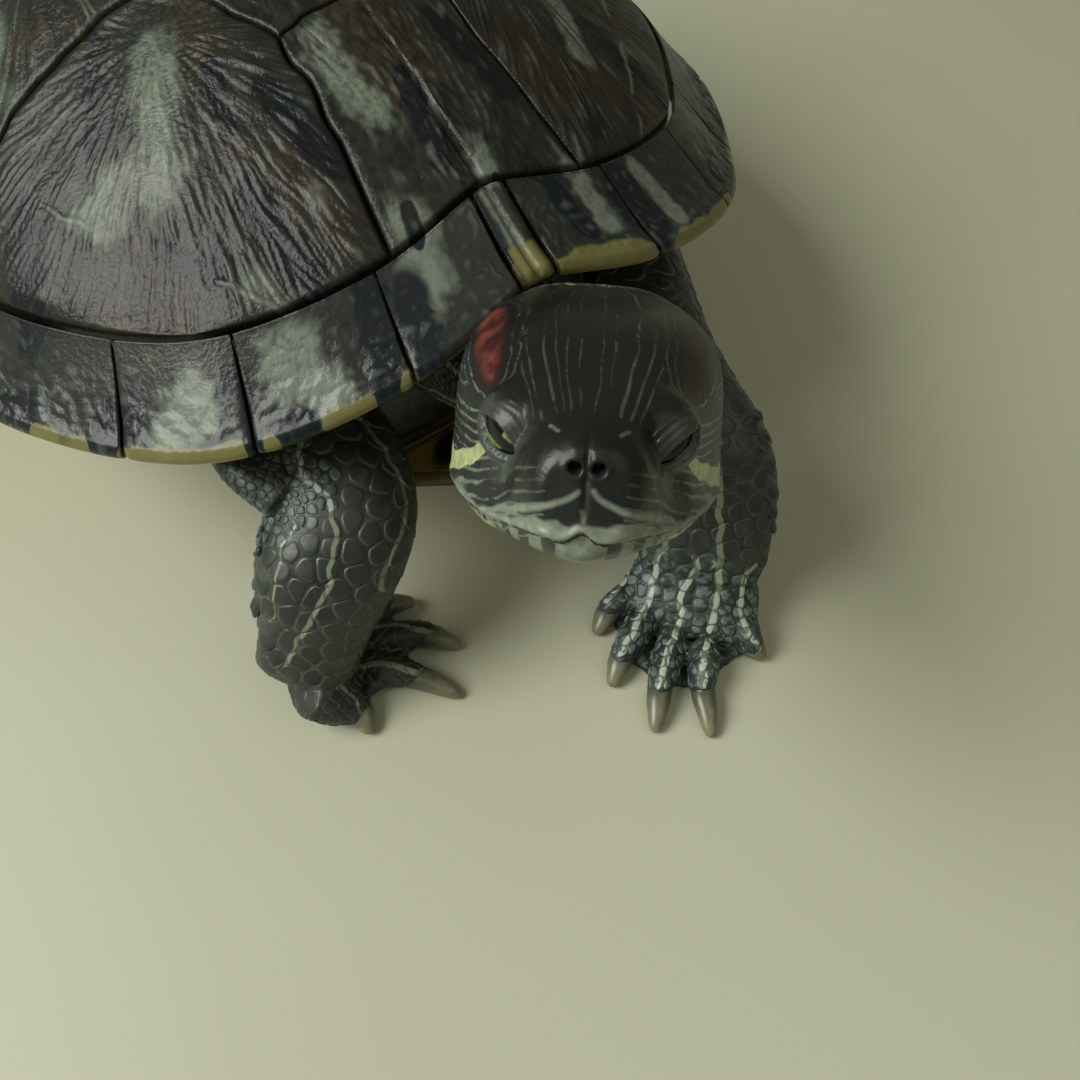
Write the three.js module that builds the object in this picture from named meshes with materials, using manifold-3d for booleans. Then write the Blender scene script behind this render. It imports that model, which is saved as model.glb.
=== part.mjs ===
// A red-eared slider, Trachemys scripta elegans: an adult female standing still,
// neck stretched and head turned to its right. Millimetres, +Z up, the head end
// toward -Y and the animal's left toward +X. The soles stand on z = 0.
import * as THREE from 'three';
import Module from 'manifold-3d';
import { mergeVertices } from 'three/addons/utils/BufferGeometryUtils.js';

// ---- driving dimensions -------------------------------------------------

const NUCHAL_AT = [-2.5, -88.8, 66.4];   // the notch at the shell's front, above the floor
const SHELL_PITCH = 7.2;         // degrees, front of the shell raised
const SHELL_ROLL = 1.0;          // degrees, left side raised
const SHELL_YAW = 8;             // degrees, tail end swung to the animal's left
const DOME_PEAK = 80;            // top of the carapace above the plastron
const CENTRE_Y = 5;              // where the growth lines of the plan radiate from
const SCUTE_THICK = 2.6;
const PLATE_THICK = 3.2;
const GAP = 0.34;                // seam between neighbouring solids
const MARGINAL_INNER = 0.88;     // costal to marginal seam, share of the plan radius
const BRIDGE_START = 48;         // half-width where the plastron turns up
const NECK_HIDE = 0.8;           // how far out the body skin reaches under the rim

const HEAD_AT = [-11.6, -107.6, 64.5];   // back of the skull at the mouth line
const HEAD_YAW = 49;                     // degrees, snout turned to the right
const HEAD_LIFT = 27.3;                  // degrees, snout raised
const HEAD_TAPER = 0.03;                 // crown narrower than the jaws
const HEAD_SQUARE = [3.3, 2.2];          // how square the section is at the nape and at the snout
const EYE_RADIUS = 4.5;
const EYE_AT = [6.4, -28.6, 6.2];

// The carapace rim at each seam of the marginals, from the front midline to the
// rear midline: [half-width, length, height] above the plastron's underside.
const RIM = [
  [0, -94.3, 41.0], [3.3, -95.0, 41.0], [21.5, -95.3, 35.5], [43.0, -86.8, 29.5],
  [57.5, -72.0, 26.5], [70.0, -50.5, 26.5], [76.5, -24.0, 26.5], [79.0, 3.0, 26.0],
  [78.0, 28.0, 26.0], [71.5, 52.0, 27.0], [59.0, 74.5, 28.5], [40.0, 91.5, 29.5],
  [16.5, 99.5, 30.0], [0, 99.0, 31.0],
];

// Corners of the vertebral scutes down one side: [half-width, length].
const VERTEBRAL = {
  waist1: [14, -69], seam12: [12.5, -53.5],
  wide2: [21.5, -35], seam23: [15, -14],
  wide3: [22, 4], seam34: [15, 23],
  wide4: [20, 42], seam45: [10.5, 60],
};

// Where the costal seams reach the marginals, counted in rows of RIM.
const COSTAL_ROWS = { front: 1.85, nose: 3.3, c12: 5.55, c23: 7.55, c34: 9.5, rear: 11.3 };

// Half-width of the plastron along its length: [length, half-width].
const PLASTRON_OUTLINE = [
  [-87.5, 12], [-80, 22], [-66, 31], [-52, 36], [-46, 42], [-39, 58], [-33, 63],
  [27, 65], [33, 60], [40, 43], [48, 37], [64, 34], [76, 27], [84, 14],
];

const PLATES = [
  ['gular', -87.5, -74], ['humeral', -74, -54], ['pectoral', -54, -24],
  ['abdominal', -24, 12], ['femoral', 12, 50], ['anal', 50, 84],
];

// ---- colours ------------------------------------------------------------

const COLOUR = {
  scute: 0x4a4c3c, rim: 0x565741, plastron: 0xb9a352, skin: 0x3d4238,
  head: 0x32362b, claw: 0x5a5140, eye: 0x8a8f45,
};

// ---- small helpers ------------------------------------------------------

const wasm = await Module();
wasm.setup();

const turtle = new THREE.Group();
const rad = THREE.MathUtils.degToRad;
const clamp = THREE.MathUtils.clamp;
const smooth = THREE.MathUtils.smoothstep;

function mix(a, b, t) {
  return a.map((value, i) => value + (b[i] - value) * t);
}

// A smooth curve through rows of numbers, read at a fractional row index.
function throughRows(rows, index) {
  const last = rows.length - 1;
  const at = clamp(index, 0, last);
  const k = Math.min(Math.floor(at), last - 1);
  const t = at - k;
  const before = k > 0 ? rows[k - 1] : mix(rows[1], rows[0], 2);
  const after = k + 2 <= last ? rows[k + 2] : mix(rows[last - 1], rows[last], 2);
  return rows[k].map((p1, i) => {
    const p2 = rows[k + 1][i];
    const m1 = (p2 - before[i]) / 2;
    const m2 = (after[i] - p1) / 2;
    const t2 = t * t;
    const t3 = t2 * t;
    return (2 * t3 - 3 * t2 + 1) * p1 + (t3 - 2 * t2 + t) * m1
      + (3 * t2 - 2 * t3) * p2 + (t3 - t2) * m2;
  });
}

function straightRows(rows, key) {
  let k = 0;
  while (k < rows.length - 2 && key > rows[k + 1][0]) {
    k += 1;
  }
  const t = clamp((key - rows[k][0]) / (rows[k + 1][0] - rows[k][0]), 0, 1);
  return mix(rows[k], rows[k + 1], t).slice(1);
}

function geometryFrom(points, triangles) {
  const geometry = new THREE.BufferGeometry();
  geometry.setAttribute('position', new THREE.Float32BufferAttribute(points.flat(), 3));
  geometry.setIndex(triangles.flat());
  return geometry;
}

function toSolid(geometry) {
  const bare = geometry.clone();
  bare.deleteAttribute('normal');
  bare.deleteAttribute('uv');
  const merged = mergeVertices(bare, 1e-4);
  const mesh = new wasm.Mesh({
    numProp: 3,
    vertProperties: new Float32Array(merged.attributes.position.array),
    triVerts: new Uint32Array(merged.index.array),
  });
  mesh.merge();
  return new wasm.Manifold(mesh);
}

// The largest connected piece of a cut solid, so that no crumb is left over.
function mainPiece(solid) {
  const pieces = solid.decompose();
  return pieces.reduce((best, piece) => (piece.volume() > best.volume() ? piece : best));
}

function toGeometry(solid) {
  const mesh = mainPiece(solid).getMesh();
  const geometry = new THREE.BufferGeometry();
  geometry.setAttribute('position', new THREE.BufferAttribute(mesh.vertProperties, 3));
  geometry.setIndex(new THREE.BufferAttribute(mesh.triVerts, 1));
  return geometry;
}

function addPart(name, geometry, colour, roughness = 0.5) {
  const material = new THREE.MeshStandardMaterial({ color: colour, roughness, metalness: 0 });
  const mesh = new THREE.Mesh(geometry, material);
  mesh.name = name;
  turtle.add(mesh);
  return mesh;
}

// A closed slab between two surfaces given on the same grid of (i, j).
function slab(columns, rows, upper, lower) {
  const points = [];
  const triangles = [];
  const width = columns + 1;
  const layer = width * (rows + 1);
  for (const surface of [upper, lower]) {
    for (let j = 0; j <= rows; j += 1) {
      for (let i = 0; i <= columns; i += 1) {
        points.push(surface(i / columns, j / rows));
      }
    }
  }
  const id = (i, j) => j * width + i;
  for (let j = 0; j < rows; j += 1) {
    for (let i = 0; i < columns; i += 1) {
      const quad = [id(i, j), id(i + 1, j), id(i + 1, j + 1), id(i, j + 1)];
      triangles.push([quad[0], quad[1], quad[2]], [quad[0], quad[2], quad[3]]);
      const under = quad.map((k) => k + layer);
      triangles.push([under[2], under[1], under[0]], [under[3], under[2], under[0]]);
    }
  }
  const rimLoop = [];
  for (let i = 0; i < columns; i += 1) rimLoop.push(id(i, 0));
  for (let j = 0; j < rows; j += 1) rimLoop.push(id(columns, j));
  for (let i = columns; i > 0; i -= 1) rimLoop.push(id(i, rows));
  for (let j = rows; j > 0; j -= 1) rimLoop.push(id(0, j));
  rimLoop.forEach((a, k) => {
    const b = rimLoop[(k + 1) % rimLoop.length];
    triangles.push([a, a + layer, b], [b, a + layer, b + layer]);
  });
  return facingOut(points, triangles);
}

function facingOut(points, triangles) {
  let volume = 0;
  for (const [a, b, c] of triangles) {
    const p = points[a];
    const q = points[b];
    const r = points[c];
    volume += p[0] * (q[1] * r[2] - q[2] * r[1]) - p[1] * (q[0] * r[2] - q[2] * r[0])
      + p[2] * (q[0] * r[1] - q[1] * r[0]);
  }
  const wound = volume < 0 ? triangles.map(([a, b, c]) => [a, c, b]) : triangles;
  return geometryFrom(points, wound);
}

// ---- the dome of the carapace -------------------------------------------

// The rim around the whole animal: row 0 is the front midline, 13 the rear one,
// and negative rows run down the right side.
function rimPoint(row) {
  const side = row < 0 ? -1 : 1;
  const [x, y, z] = throughRows(RIM, Math.abs(row));
  return [side * Math.max(x, 0), y, z];
}

// One row of the outline table per small step, keyed by the angle from the front.
const OUTLINE = [];
for (let row = 0; row <= 13.0001; row += 0.1) {
  const [x, y, z] = rimPoint(row);
  OUTLINE.push([Math.atan2(x, CENTRE_Y - y), Math.hypot(x, y - CENTRE_Y), z]);
}

function planPosition(x, y) {
  const angle = Math.atan2(Math.abs(x), CENTRE_Y - y);
  const [reach, rimHeight] = straightRows(OUTLINE, angle);
  return { share: Math.hypot(x, y - CENTRE_Y) / reach, rimHeight, angle };
}

function domeHeight(x, y) {
  const { share, rimHeight, angle } = planPosition(x, y);
  const power = 1.9 + 0.4 * smooth(angle, 0.2, 2.6);
  const rise = (r) => 1 - Math.pow(Math.min(r, 1), power);
  const flare = share > MARGINAL_INNER
    ? rise(MARGINAL_INNER) * Math.pow((1 - Math.min(share, 1)) / (1 - MARGINAL_INNER), 1.2)
    : rise(share);
  return rimHeight + (DOME_PEAK - rimHeight) * flare;
}

// Height of the inner face of a scute, thicker where the dome is steep.
function domeUnderside(x, y, thick) {
  const step = 0.5;
  const slopeX = (domeHeight(x + step, y) - domeHeight(x - step, y)) / (2 * step);
  const slopeY = (domeHeight(x, y + step) - domeHeight(x, y - step)) / (2 * step);
  const stretch = Math.min(Math.hypot(1, slopeX, slopeY), 2.2);
  return domeHeight(x, y) - thick * stretch;
}

function seamPoint(row, share = MARGINAL_INNER) {
  const [x, y] = rimPoint(row);
  return [x * share, CENTRE_Y + (y - CENTRE_Y) * share];
}

// ---- posing the shell ---------------------------------------------------

const [nuchalX, nuchalY, nuchalZ] = NUCHAL_AT;
const shellPose = new THREE.Matrix4().makeTranslation(nuchalX, nuchalY, nuchalZ)
  .multiply(new THREE.Matrix4().makeRotationX(-rad(SHELL_PITCH)))
  .multiply(new THREE.Matrix4().makeRotationY(-rad(SHELL_ROLL)))
  .multiply(new THREE.Matrix4().makeRotationZ(-rad(SHELL_YAW)))
  .multiply(new THREE.Matrix4().makeTranslation(0, -RIM[0][1], -RIM[0][2]));

// What hangs from the rear of the shell is swung with it.
function withShell([x, y, ...rest]) {
  const c = Math.cos(rad(SHELL_YAW));
  const s = Math.sin(rad(SHELL_YAW));
  const behind = y - nuchalY;
  return [nuchalX + x * c + behind * s, nuchalY - x * s + behind * c, ...rest];
}

function poseShell(geometry) {
  return geometry.applyMatrix4(shellPose);
}

// ---- scutes -------------------------------------------------------------

// A path along straight legs, read at a share of its whole length.
function alongPath(points) {
  const lengths = [0];
  for (let k = 1; k < points.length; k += 1) {
    const leg = Math.hypot(points[k][0] - points[k - 1][0], points[k][1] - points[k - 1][1]);
    lengths.push(lengths[k - 1] + leg);
  }
  const total = lengths[lengths.length - 1];
  const rows = points.map((point, k) => [lengths[k] / total, ...point]);
  return (t) => straightRows(rows, t);
}

function alongSeam(rowA, rowB) {
  return (t) => seamPoint(rowA + (rowB - rowA) * t);
}

// A four-sided patch of the plan filled in between its edges. near and far run
// with u, left and right run with v.
function patch(near, far, left, right) {
  return (u, v) => [0, 1].map((k) => {
    const across = (1 - v) * near(u)[k] + v * far(u)[k];
    const along = (1 - u) * left(v)[k] + u * right(v)[k];
    const corners = (1 - u) * (1 - v) * near(0)[k] + u * (1 - v) * near(1)[k]
      + (1 - u) * v * far(0)[k] + u * v * far(1)[k];
    return across + along - corners;
  });
}

function addScute(name, plan, columns, rows) {
  const inset = (u, v) => {
    const [x0, y0] = plan(0, v);
    const [x1, y1] = plan(1, v);
    const [a0, b0] = plan(u, 0);
    const [a1, b1] = plan(u, 1);
    const du = 0.62 * GAP / Math.hypot(x1 - x0, y1 - y0);
    const dv = 0.62 * GAP / Math.hypot(a1 - a0, b1 - b0);
    return plan(du + u * (1 - 2 * du), dv + v * (1 - 2 * dv));
  };
  const upper = (u, v) => {
    const [x, y] = inset(u, v);
    return [x, y, domeHeight(x, y)];
  };
  const lower = (u, v) => {
    const [x, y] = inset(u, v);
    return [x, y, domeUnderside(x, y, SCUTE_THICK)];
  };
  addPart(name, poseShell(slab(columns, rows, upper, lower)), COLOUR.scute, 0.35);
}

const mirrorX = ([x, y]) => [-x, y];
const flip = (edge) => (t) => mirrorX(edge(t));

function addVertebral(name, sideEdge, near, far, rows) {
  addScute(name, patch(near, far, flip(sideEdge), sideEdge), 4, rows);
}

function across([x, y]) {
  return (t) => [x * (2 * t - 1), y];
}

const V = VERTEBRAL;
const rearRow = COSTAL_ROWS.rear;
const aroundRear = (t) => {
  const row = rearRow + (26 - 2 * rearRow) * t;
  return row <= 13 ? mirrorX(seamPoint(row)) : seamPoint(26 - row);
};

const frontEdge = (t) => {
  const row = COSTAL_ROWS.front * (2 * t - 1);
  return seamPoint(row);
};
addVertebral('vertebral_1', alongPath([seamPoint(COSTAL_ROWS.front), V.waist1, V.seam12]),
  frontEdge, across(V.seam12), 4);
addVertebral('vertebral_2', alongPath([V.seam12, V.wide2, V.seam23]),
  across(V.seam12), across(V.seam23), 4);
addVertebral('vertebral_3', alongPath([V.seam23, V.wide3, V.seam34]),
  across(V.seam23), across(V.seam34), 4);
addVertebral('vertebral_4', alongPath([V.seam34, V.wide4, V.seam45]),
  across(V.seam34), across(V.seam45), 4);
addVertebral('vertebral_5', alongPath([V.seam45, seamPoint(rearRow)]),
  across(V.seam45), aroundRear, 3);

// Each costal: its two seams with the neighbouring costals, the marginals outside
// and the vertebrals inside. u runs outward, v to the rear.
const rows = COSTAL_ROWS;
const COSTALS = [
  [alongSeam(rows.front, rows.nose), alongPath([V.wide2, seamPoint(rows.c12)]),
    alongPath([seamPoint(rows.front), V.waist1, V.seam12, V.wide2]),
    alongSeam(rows.nose, rows.c12)],
  [alongPath([V.wide2, seamPoint(rows.c12)]), alongPath([V.wide3, seamPoint(rows.c23)]),
    alongPath([V.wide2, V.seam23, V.wide3]), alongSeam(rows.c12, rows.c23)],
  [alongPath([V.wide3, seamPoint(rows.c23)]), alongPath([V.wide4, seamPoint(rows.c34)]),
    alongPath([V.wide3, V.seam34, V.wide4]), alongSeam(rows.c23, rows.c34)],
  [alongPath([V.wide4, seamPoint(rows.c34)]), alongPath([V.seam45, seamPoint(rearRow)]),
    alongPath([V.wide4, V.seam45]), alongSeam(rows.c34, rearRow)],
];
COSTALS.forEach((edges, k) => {
  const left = patch(...edges);
  addScute(`costal_left_${k + 1}`, left, 6, 6);
  addScute(`costal_right_${k + 1}`, (u, v) => mirrorX(left(u, v)), 6, 6);
});

// A marginal: its upper face falls to the rim, the lower face tucks back in, and
// in the middle of the shell it reaches down to meet the bridge.
function marginalGeometry(rowA, rowB, side, stations) {
  const shares = [MARGINAL_INNER, 0.935, 1];
  const place = (u, v) => {
    const [x0, y0] = rimPoint(rowA);
    const [x1, y1] = rimPoint(rowB);
    const trim = 0.6 * GAP / Math.hypot(x1 - x0, y1 - y0);
    const row = rowA + (rowB - rowA) * (trim + v * (1 - 2 * trim));
    const share = shares[Math.round(u * 2)] + (u === 0 ? GAP / 150 : 0);
    const [rx, ry, rz] = rimPoint(row);
    return { x: side * rx * share, y: CENTRE_Y + (ry - CENTRE_Y) * share, rz, row, u };
  };
  const upper = (u, v) => {
    const { x, y } = place(u, v);
    return [x, y, domeHeight(x, y)];
  };
  const lower = (u, v) => {
    const { x, y, rz, row } = place(u, v);
    const bridge = smooth(row, 4.4, 5.2) * (1 - smooth(row, 8.0, 8.8));
    const free = domeHeight(x, y) - (u === 1 ? 2.4 : 4.6);
    const tucked = rz - 2.4 - 3.6 * (1 - u);
    return [x, y, free + (tucked - free) * bridge];
  };
  return slab(2, stations, upper, lower);
}

for (let k = 1; k <= 12; k += 1) {
  addPart(`marginal_left_${k}`, poseShell(marginalGeometry(k, k + 1, 1, 3)), COLOUR.rim, 0.35);
  addPart(`marginal_right_${k}`, poseShell(marginalGeometry(k, k + 1, -1, 3)), COLOUR.rim, 0.35);
}
addPart('nuchal', poseShell(marginalGeometry(-1, 1, 1, 2)), COLOUR.rim, 0.35);

// ---- plastron -----------------------------------------------------------

function plastronWidth(y) {
  return straightRows(PLASTRON_OUTLINE, y)[0];
}

function plastronUnderside(x) {
  const out = Math.max(Math.abs(x) - BRIDGE_START, 0) / 17.5;
  return 20 * Math.pow(out, 1.5);
}

for (const [name, front, rear] of PLATES) {
  const halfGap = GAP / 2;
  const place = (u, v) => {
    const start = front + halfGap;
    const y = start + (rear - halfGap - start) * v;
    return [plastronWidth(y) * (2 * u - 1), y];
  };
  const lower = (u, v) => {
    const [x, y] = place(u, v);
    return [x, y, plastronUnderside(x)];
  };
  const upper = (u, v) => {
    const [x, y, z] = lower(u, v);
    return [x, y, z + PLATE_THICK];
  };
  addPart(`plastron_${name}`, poseShell(slab(8, 6, upper, lower)), COLOUR.plastron, 0.45);
}

// ---- flesh: tubes with oval sections ------------------------------------

// keys: [x, y, z, half-width, half-height, roll] along the spine of a tube. The
// section is a superellipse, square-ish for a power above 2. side sets which way
// the half-width points at the start, and taper narrows the upper side.
function tube(keys, rings, around, power = 2.2, side = [1, 0, 0], grow = 0, taper = 0) {
  const points = [];
  const triangles = [];
  const at = (t) => throughRows(keys, t * (keys.length - 1));
  for (let j = 0; j <= rings; j += 1) {
    const t = j / rings;
    const [x, y, z, a, b, roll = 0] = at(t);
    const ahead = at(Math.min(t + 0.01, 1));
    const behind = at(Math.max(t - 0.01, 0));
    const way = new THREE.Vector3(...ahead.slice(0, 3)).sub(new THREE.Vector3(...behind.slice(0, 3)));
    way.normalize();
    const wide = new THREE.Vector3(...side).addScaledVector(way, -way.dot(new THREE.Vector3(...side)));
    wide.normalize().applyAxisAngle(way, rad(roll));
    const tall = new THREE.Vector3().crossVectors(way, wide);
    const [first, last] = Array.isArray(power) ? power : [power, power];
    const square = first + (last - first) * smooth(t, 0.25, 0.75);
    for (let i = 0; i < around; i += 1) {
      const angle = (i / around) * Math.PI * 2;
      const c = Math.cos(angle);
      const s = Math.sin(angle);
      const high = Math.sign(s) * Math.pow(Math.abs(s), 2 / square);
      const out = Math.sign(c) * Math.pow(Math.abs(c), 2 / square) * (1 - taper * high);
      const u = out * (a + grow);
      const w = high * (b + grow);
      points.push([
        x + wide.x * u + tall.x * w, y + wide.y * u + tall.y * w, z + wide.z * u + tall.z * w,
      ]);
    }
  }
  const ends = [0, rings].map((j) => {
    const ring = points.slice(j * around, (j + 1) * around);
    const centre = [0, 1, 2].map((k) => ring.reduce((sum, p) => sum + p[k], 0) / around);
    points.push(centre);
    return points.length - 1;
  });
  for (let i = 0; i < around; i += 1) {
    const next = (i + 1) % around;
    for (let j = 0; j < rings; j += 1) {
      const a = j * around + i;
      const b = j * around + next;
      triangles.push([a, b, b + around], [a, b + around, a + around]);
    }
    triangles.push([ends[0], next, i]);
    triangles.push([ends[1], rings * around + i, rings * around + next]);
  }
  return toSolid(facingOut(points, triangles));
}

function box(minimum, maximum) {
  const size = maximum.map((value, i) => value - minimum[i]);
  const geometry = new THREE.BoxGeometry(...size);
  geometry.translate(...minimum.map((value, i) => value + size[i] / 2));
  return toSolid(geometry);
}

// The skin that closes the shell: it fills the space between the plates.
function bodyBlock(share, lift) {
  const columns = 24;
  const ringsOut = 4;
  const points = [];
  const triangles = [];
  const layer = 1 + columns * ringsOut;
  for (const isTop of [true, false]) {
    const heightAt = (x, y) => (isTop
      ? domeUnderside(x, y, SCUTE_THICK) - lift
      : plastronUnderside(x) + PLATE_THICK + lift);
    points.push([0, CENTRE_Y, heightAt(0, CENTRE_Y)]);
    for (let j = 1; j <= ringsOut; j += 1) {
      for (let i = 0; i < columns; i += 1) {
        const row = (i / columns) * 26;
        const around = row <= 13 ? seamPoint(row, (share * j) / ringsOut)
          : mirrorX(seamPoint(26 - row, (share * j) / ringsOut));
        points.push([...around, heightAt(...around)]);
      }
    }
  }
  const id = (i, j) => 1 + (j - 1) * columns + (i % columns);
  for (let i = 0; i < columns; i += 1) {
    triangles.push([0, id(i, 1), id(i + 1, 1)]);
    triangles.push([layer, layer + id(i + 1, 1), layer + id(i, 1)]);
    for (let j = 1; j < ringsOut; j += 1) {
      const quad = [id(i, j), id(i, j + 1), id(i + 1, j + 1), id(i + 1, j)];
      triangles.push([quad[0], quad[1], quad[2]], [quad[0], quad[2], quad[3]]);
      const under = quad.map((k) => k + layer);
      triangles.push([under[2], under[1], under[0]], [under[3], under[2], under[0]]);
    }
    const a = id(i, ringsOut);
    const b = id(i + 1, ringsOut);
    triangles.push([a, a + layer, b], [b, a + layer, b + layer]);
  }
  return toSolid(poseShell(facingOut(points, triangles)));
}

const trunk = bodyBlock(NECK_HIDE, 1.3);
const trunkRoom = bodyBlock(NECK_HIDE + 0.004, 0.9);

// Everything the limbs must keep clear of: the dome above and the plates below.
const shellRoom = (() => {
  let room = null;
  turtle.children.forEach((mesh) => {
    const solid = toSolid(mesh.geometry);
    const shell = solid.add(solid.translate([0, 0, GAP])).add(solid.translate([0, 0, -GAP]));
    room = room ? room.add(shell) : shell;
  });
  return room;
})();

// ---- head ---------------------------------------------------------------

const headPose = (() => {
  const yaw = rad(HEAD_YAW);
  const lift = rad(HEAD_LIFT);
  const snout = new THREE.Vector3(
    -Math.sin(yaw) * Math.cos(lift), -Math.cos(yaw) * Math.cos(lift), Math.sin(lift),
  );
  const back = snout.clone().negate();
  const leftward = new THREE.Vector3(0.662, -0.75, 0.015);
  leftward.addScaledVector(back, -leftward.dot(back)).normalize();
  const up = new THREE.Vector3().crossVectors(leftward, back);
  return new THREE.Matrix4().makeBasis(leftward, back, up).setPosition(...HEAD_AT);
})();

function poseHead(solid) {
  return solid.transform(headPose.elements);
}

// [x, y, z, half-width, half-height] down the head, from the nape to the beak tip.
const HEAD_KEYS = [
  [0, 8, 1.0, 12.4, 11.0], [0, -2, 1.0, 14.7, 12.6], [0, -11, 1.3, 15.8, 13.2],
  [0, -19, 2.0, 14.6, 12.4], [0, -25, 2.4, 12.2, 11.2], [0, -31, 2.7, 10.0, 9.7],
  [0, -37, 3.0, 7.4, 7.6], [0, -40.2, 3.0, 5.4, 5.6], [0, -41.4, 3.1, 3.6, 3.8],
];

const wholeHead = tube(HEAD_KEYS, 12, 14, HEAD_SQUARE, [1, 0, 0], 0, HEAD_TAPER);
// The mouth runs level from the beak and curls down to its corner.
const gape = -17;
const jawSpace = box([-20, -60, -30], [20, gape, 0.0]);
const jawRoom = box([-20, -60, -30], [20, gape + GAP, GAP]);
const eyeSpace = (side, radius) => {
  const ball = new THREE.SphereGeometry(radius, 10, 6);
  ball.translate(side * EYE_AT[0], EYE_AT[1], EYE_AT[2]);
  return toSolid(ball);
};
let skull = wholeHead.subtract(jawRoom);
for (const side of [-1, 1]) {
  skull = skull.subtract(eyeSpace(side, EYE_RADIUS + GAP));
}
const jaw = wholeHead.intersect(jawSpace).intersect(box([-20, -39.6, -30], [20, gape, 0]));

// ---- neck, limbs and tail -----------------------------------------------

const NECK_KEYS = [
  [0, -58, 42, 17, 12], [-1, -74, 45.5, 15, 11.5], [-4, -88, 50.5, 12.5, 10.5],
  [-8.5, -99, 58, 11.5, 10.5], [-12.5, -106, 64, 11.0, 10.4],
];
const neckWhole = tube(NECK_KEYS, 7, 12);
const neckRoom = tube(NECK_KEYS, 7, 12, 2.2, [1, 0, 0], GAP);

// Each limb: the leg from inside the shell to the ankle, the sole's middle, and the
// toes as [root, claw root, claw tip] on the floor. A fold is loose skin at the armpit.
const LIMBS = {
  front_left: {
    leg: [[27, -56, 38, 11, 10], [35, -70, 38, 10.5, 10], [31.8, -79.7, 36, 10, 9.5],
      [25.5, -90.8, 34, 9.8, 9], [22.2, -99.5, 31, 10.3, 8.5], [20.2, -107.3, 26.5, 11.3, 8],
      [18.7, -111.5, 21, 11.5, 7.2], [14.9, -115, 13.5, 11.5, 6.4], [12.8, -116.2, 8.5, 11.2, 5.4]],
    legSide: [0.62, -0.78, 0],
    palm: [[12.8, -116.2, 8.2, 11.2, 5.2], [8.5, -118.5, 4.2, 12.5, 4.7], [3, -121.5, 2.6, 12, 3.3]],
    palmSide: [0.54, -0.84, 0],
    toes: [[[3.5, -110.5], [-2.1, -109.3], [-6.8, -110.6]],
      [[3.1, -114.5], [-7.2, -117.2], [-12.2, -119.6]],
      [[2, -120.8], [-6.9, -125.7], [-13.1, -130.5]],
      [[4.5, -125.9], [-1.7, -130.6], [-6.9, -137.6]],
      [[12.5, -126], [10.7, -131.1], [11.1, -134]]],
    toeRadius: 2.7,
  },
  front_right: {
    leg: [[-24, -55, 36, 10, 9], [-29, -65, 35, 11.5, 10], [-30.5, -73.5, 32.8, 12, 9.5],
      [-34.4, -79.3, 30, 12.3, 8.6], [-40.4, -82.4, 25, 11.6, 7.8], [-43.8, -83.6, 20, 10.3, 7.2],
      [-46.8, -84.6, 14, 8.9, 6.4], [-49.8, -84.8, 8.3, 8.3, 5.4]],
    fold: [[-26, -50, 36, 9, 8], [-36, -58, 35, 8, 6.5], [-42, -66, 34, 6.5, 5.5],
      [-41, -74, 33, 6, 5]],
    legSide: [0.68, -0.73, 0],
    palm: [[-50.0, -84.8, 8.0, 9.0, 4.9], [-46.2, -86.8, 4.2, 9.6, 4.7], [-42.5, -88.3, 2.6, 9.2, 3.3]],
    palmSide: [0.42, 0.9, 0],
    toes: [[[-38, -82.5], [-30.8, -81.5], [-25.5, -83.6]],
      [[-39.5, -84.5], [-29.1, -90.6], [-25.6, -96.3]],
      [[-42, -87.5], [-35.7, -95.4], [-31.9, -103.3]],
      [[-46.5, -88], [-46, -93.7], [-47.4, -98.2]],
      [[-48.6, -86.4], [-50.6, -88.6], [-51.4, -91]]],
    toeRadius: 2.6,
  },
  hind_left: {
    leg: [[30, 40, 24, 13, 10], [44, 46, 21, 13, 10.5], [56, 53, 18, 11.5, 9.5],
      [64, 62, 14.5, 10, 8], [68.5, 69, 9, 8.6, 6]],
    legSide: [0.4, -0.9, 0],
    palm: [[68.5, 69, 8.0, 8.4, 5.0], [73, 68, 4.1, 10.5, 4.6], [79, 66, 2.5, 11, 3.2]],
    palmSide: [0.2, 1, 0],
    toes: [[[76, 58], [81, 52], [84.5, 46.8]], [[79, 61.5], [87, 58], [92.5, 54.2]],
      [[80, 66], [89.5, 65.5], [96, 64]], [[79, 70.5], [87.5, 73.5], [94, 75]],
      [[76.5, 74], [82, 79], [86, 83]]],
    toeRadius: 3.0,
  },
};
LIMBS.hind_right = {
  ...LIMBS.hind_left,
  leg: LIMBS.hind_left.leg.map(([x, ...rest]) => [-x, ...rest]),
  legSide: [-0.4, -0.9, 0],
  palm: LIMBS.hind_left.palm.map(([x, ...rest]) => [-x, ...rest]),
  palmSide: [-0.2, 1, 0],
  toes: LIMBS.hind_left.toes.map((toe) => toe.map(mirrorX)),
};

for (const limb of [LIMBS.hind_left, LIMBS.hind_right]) {
  limb.leg = limb.leg.map(withShell);
  limb.palm = limb.palm.map(withShell);
  limb.toes = limb.toes.map((toe) => toe.map(withShell));
}

const belowFloor = box([-300, -300, -40], [300, 300, 0]);

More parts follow.
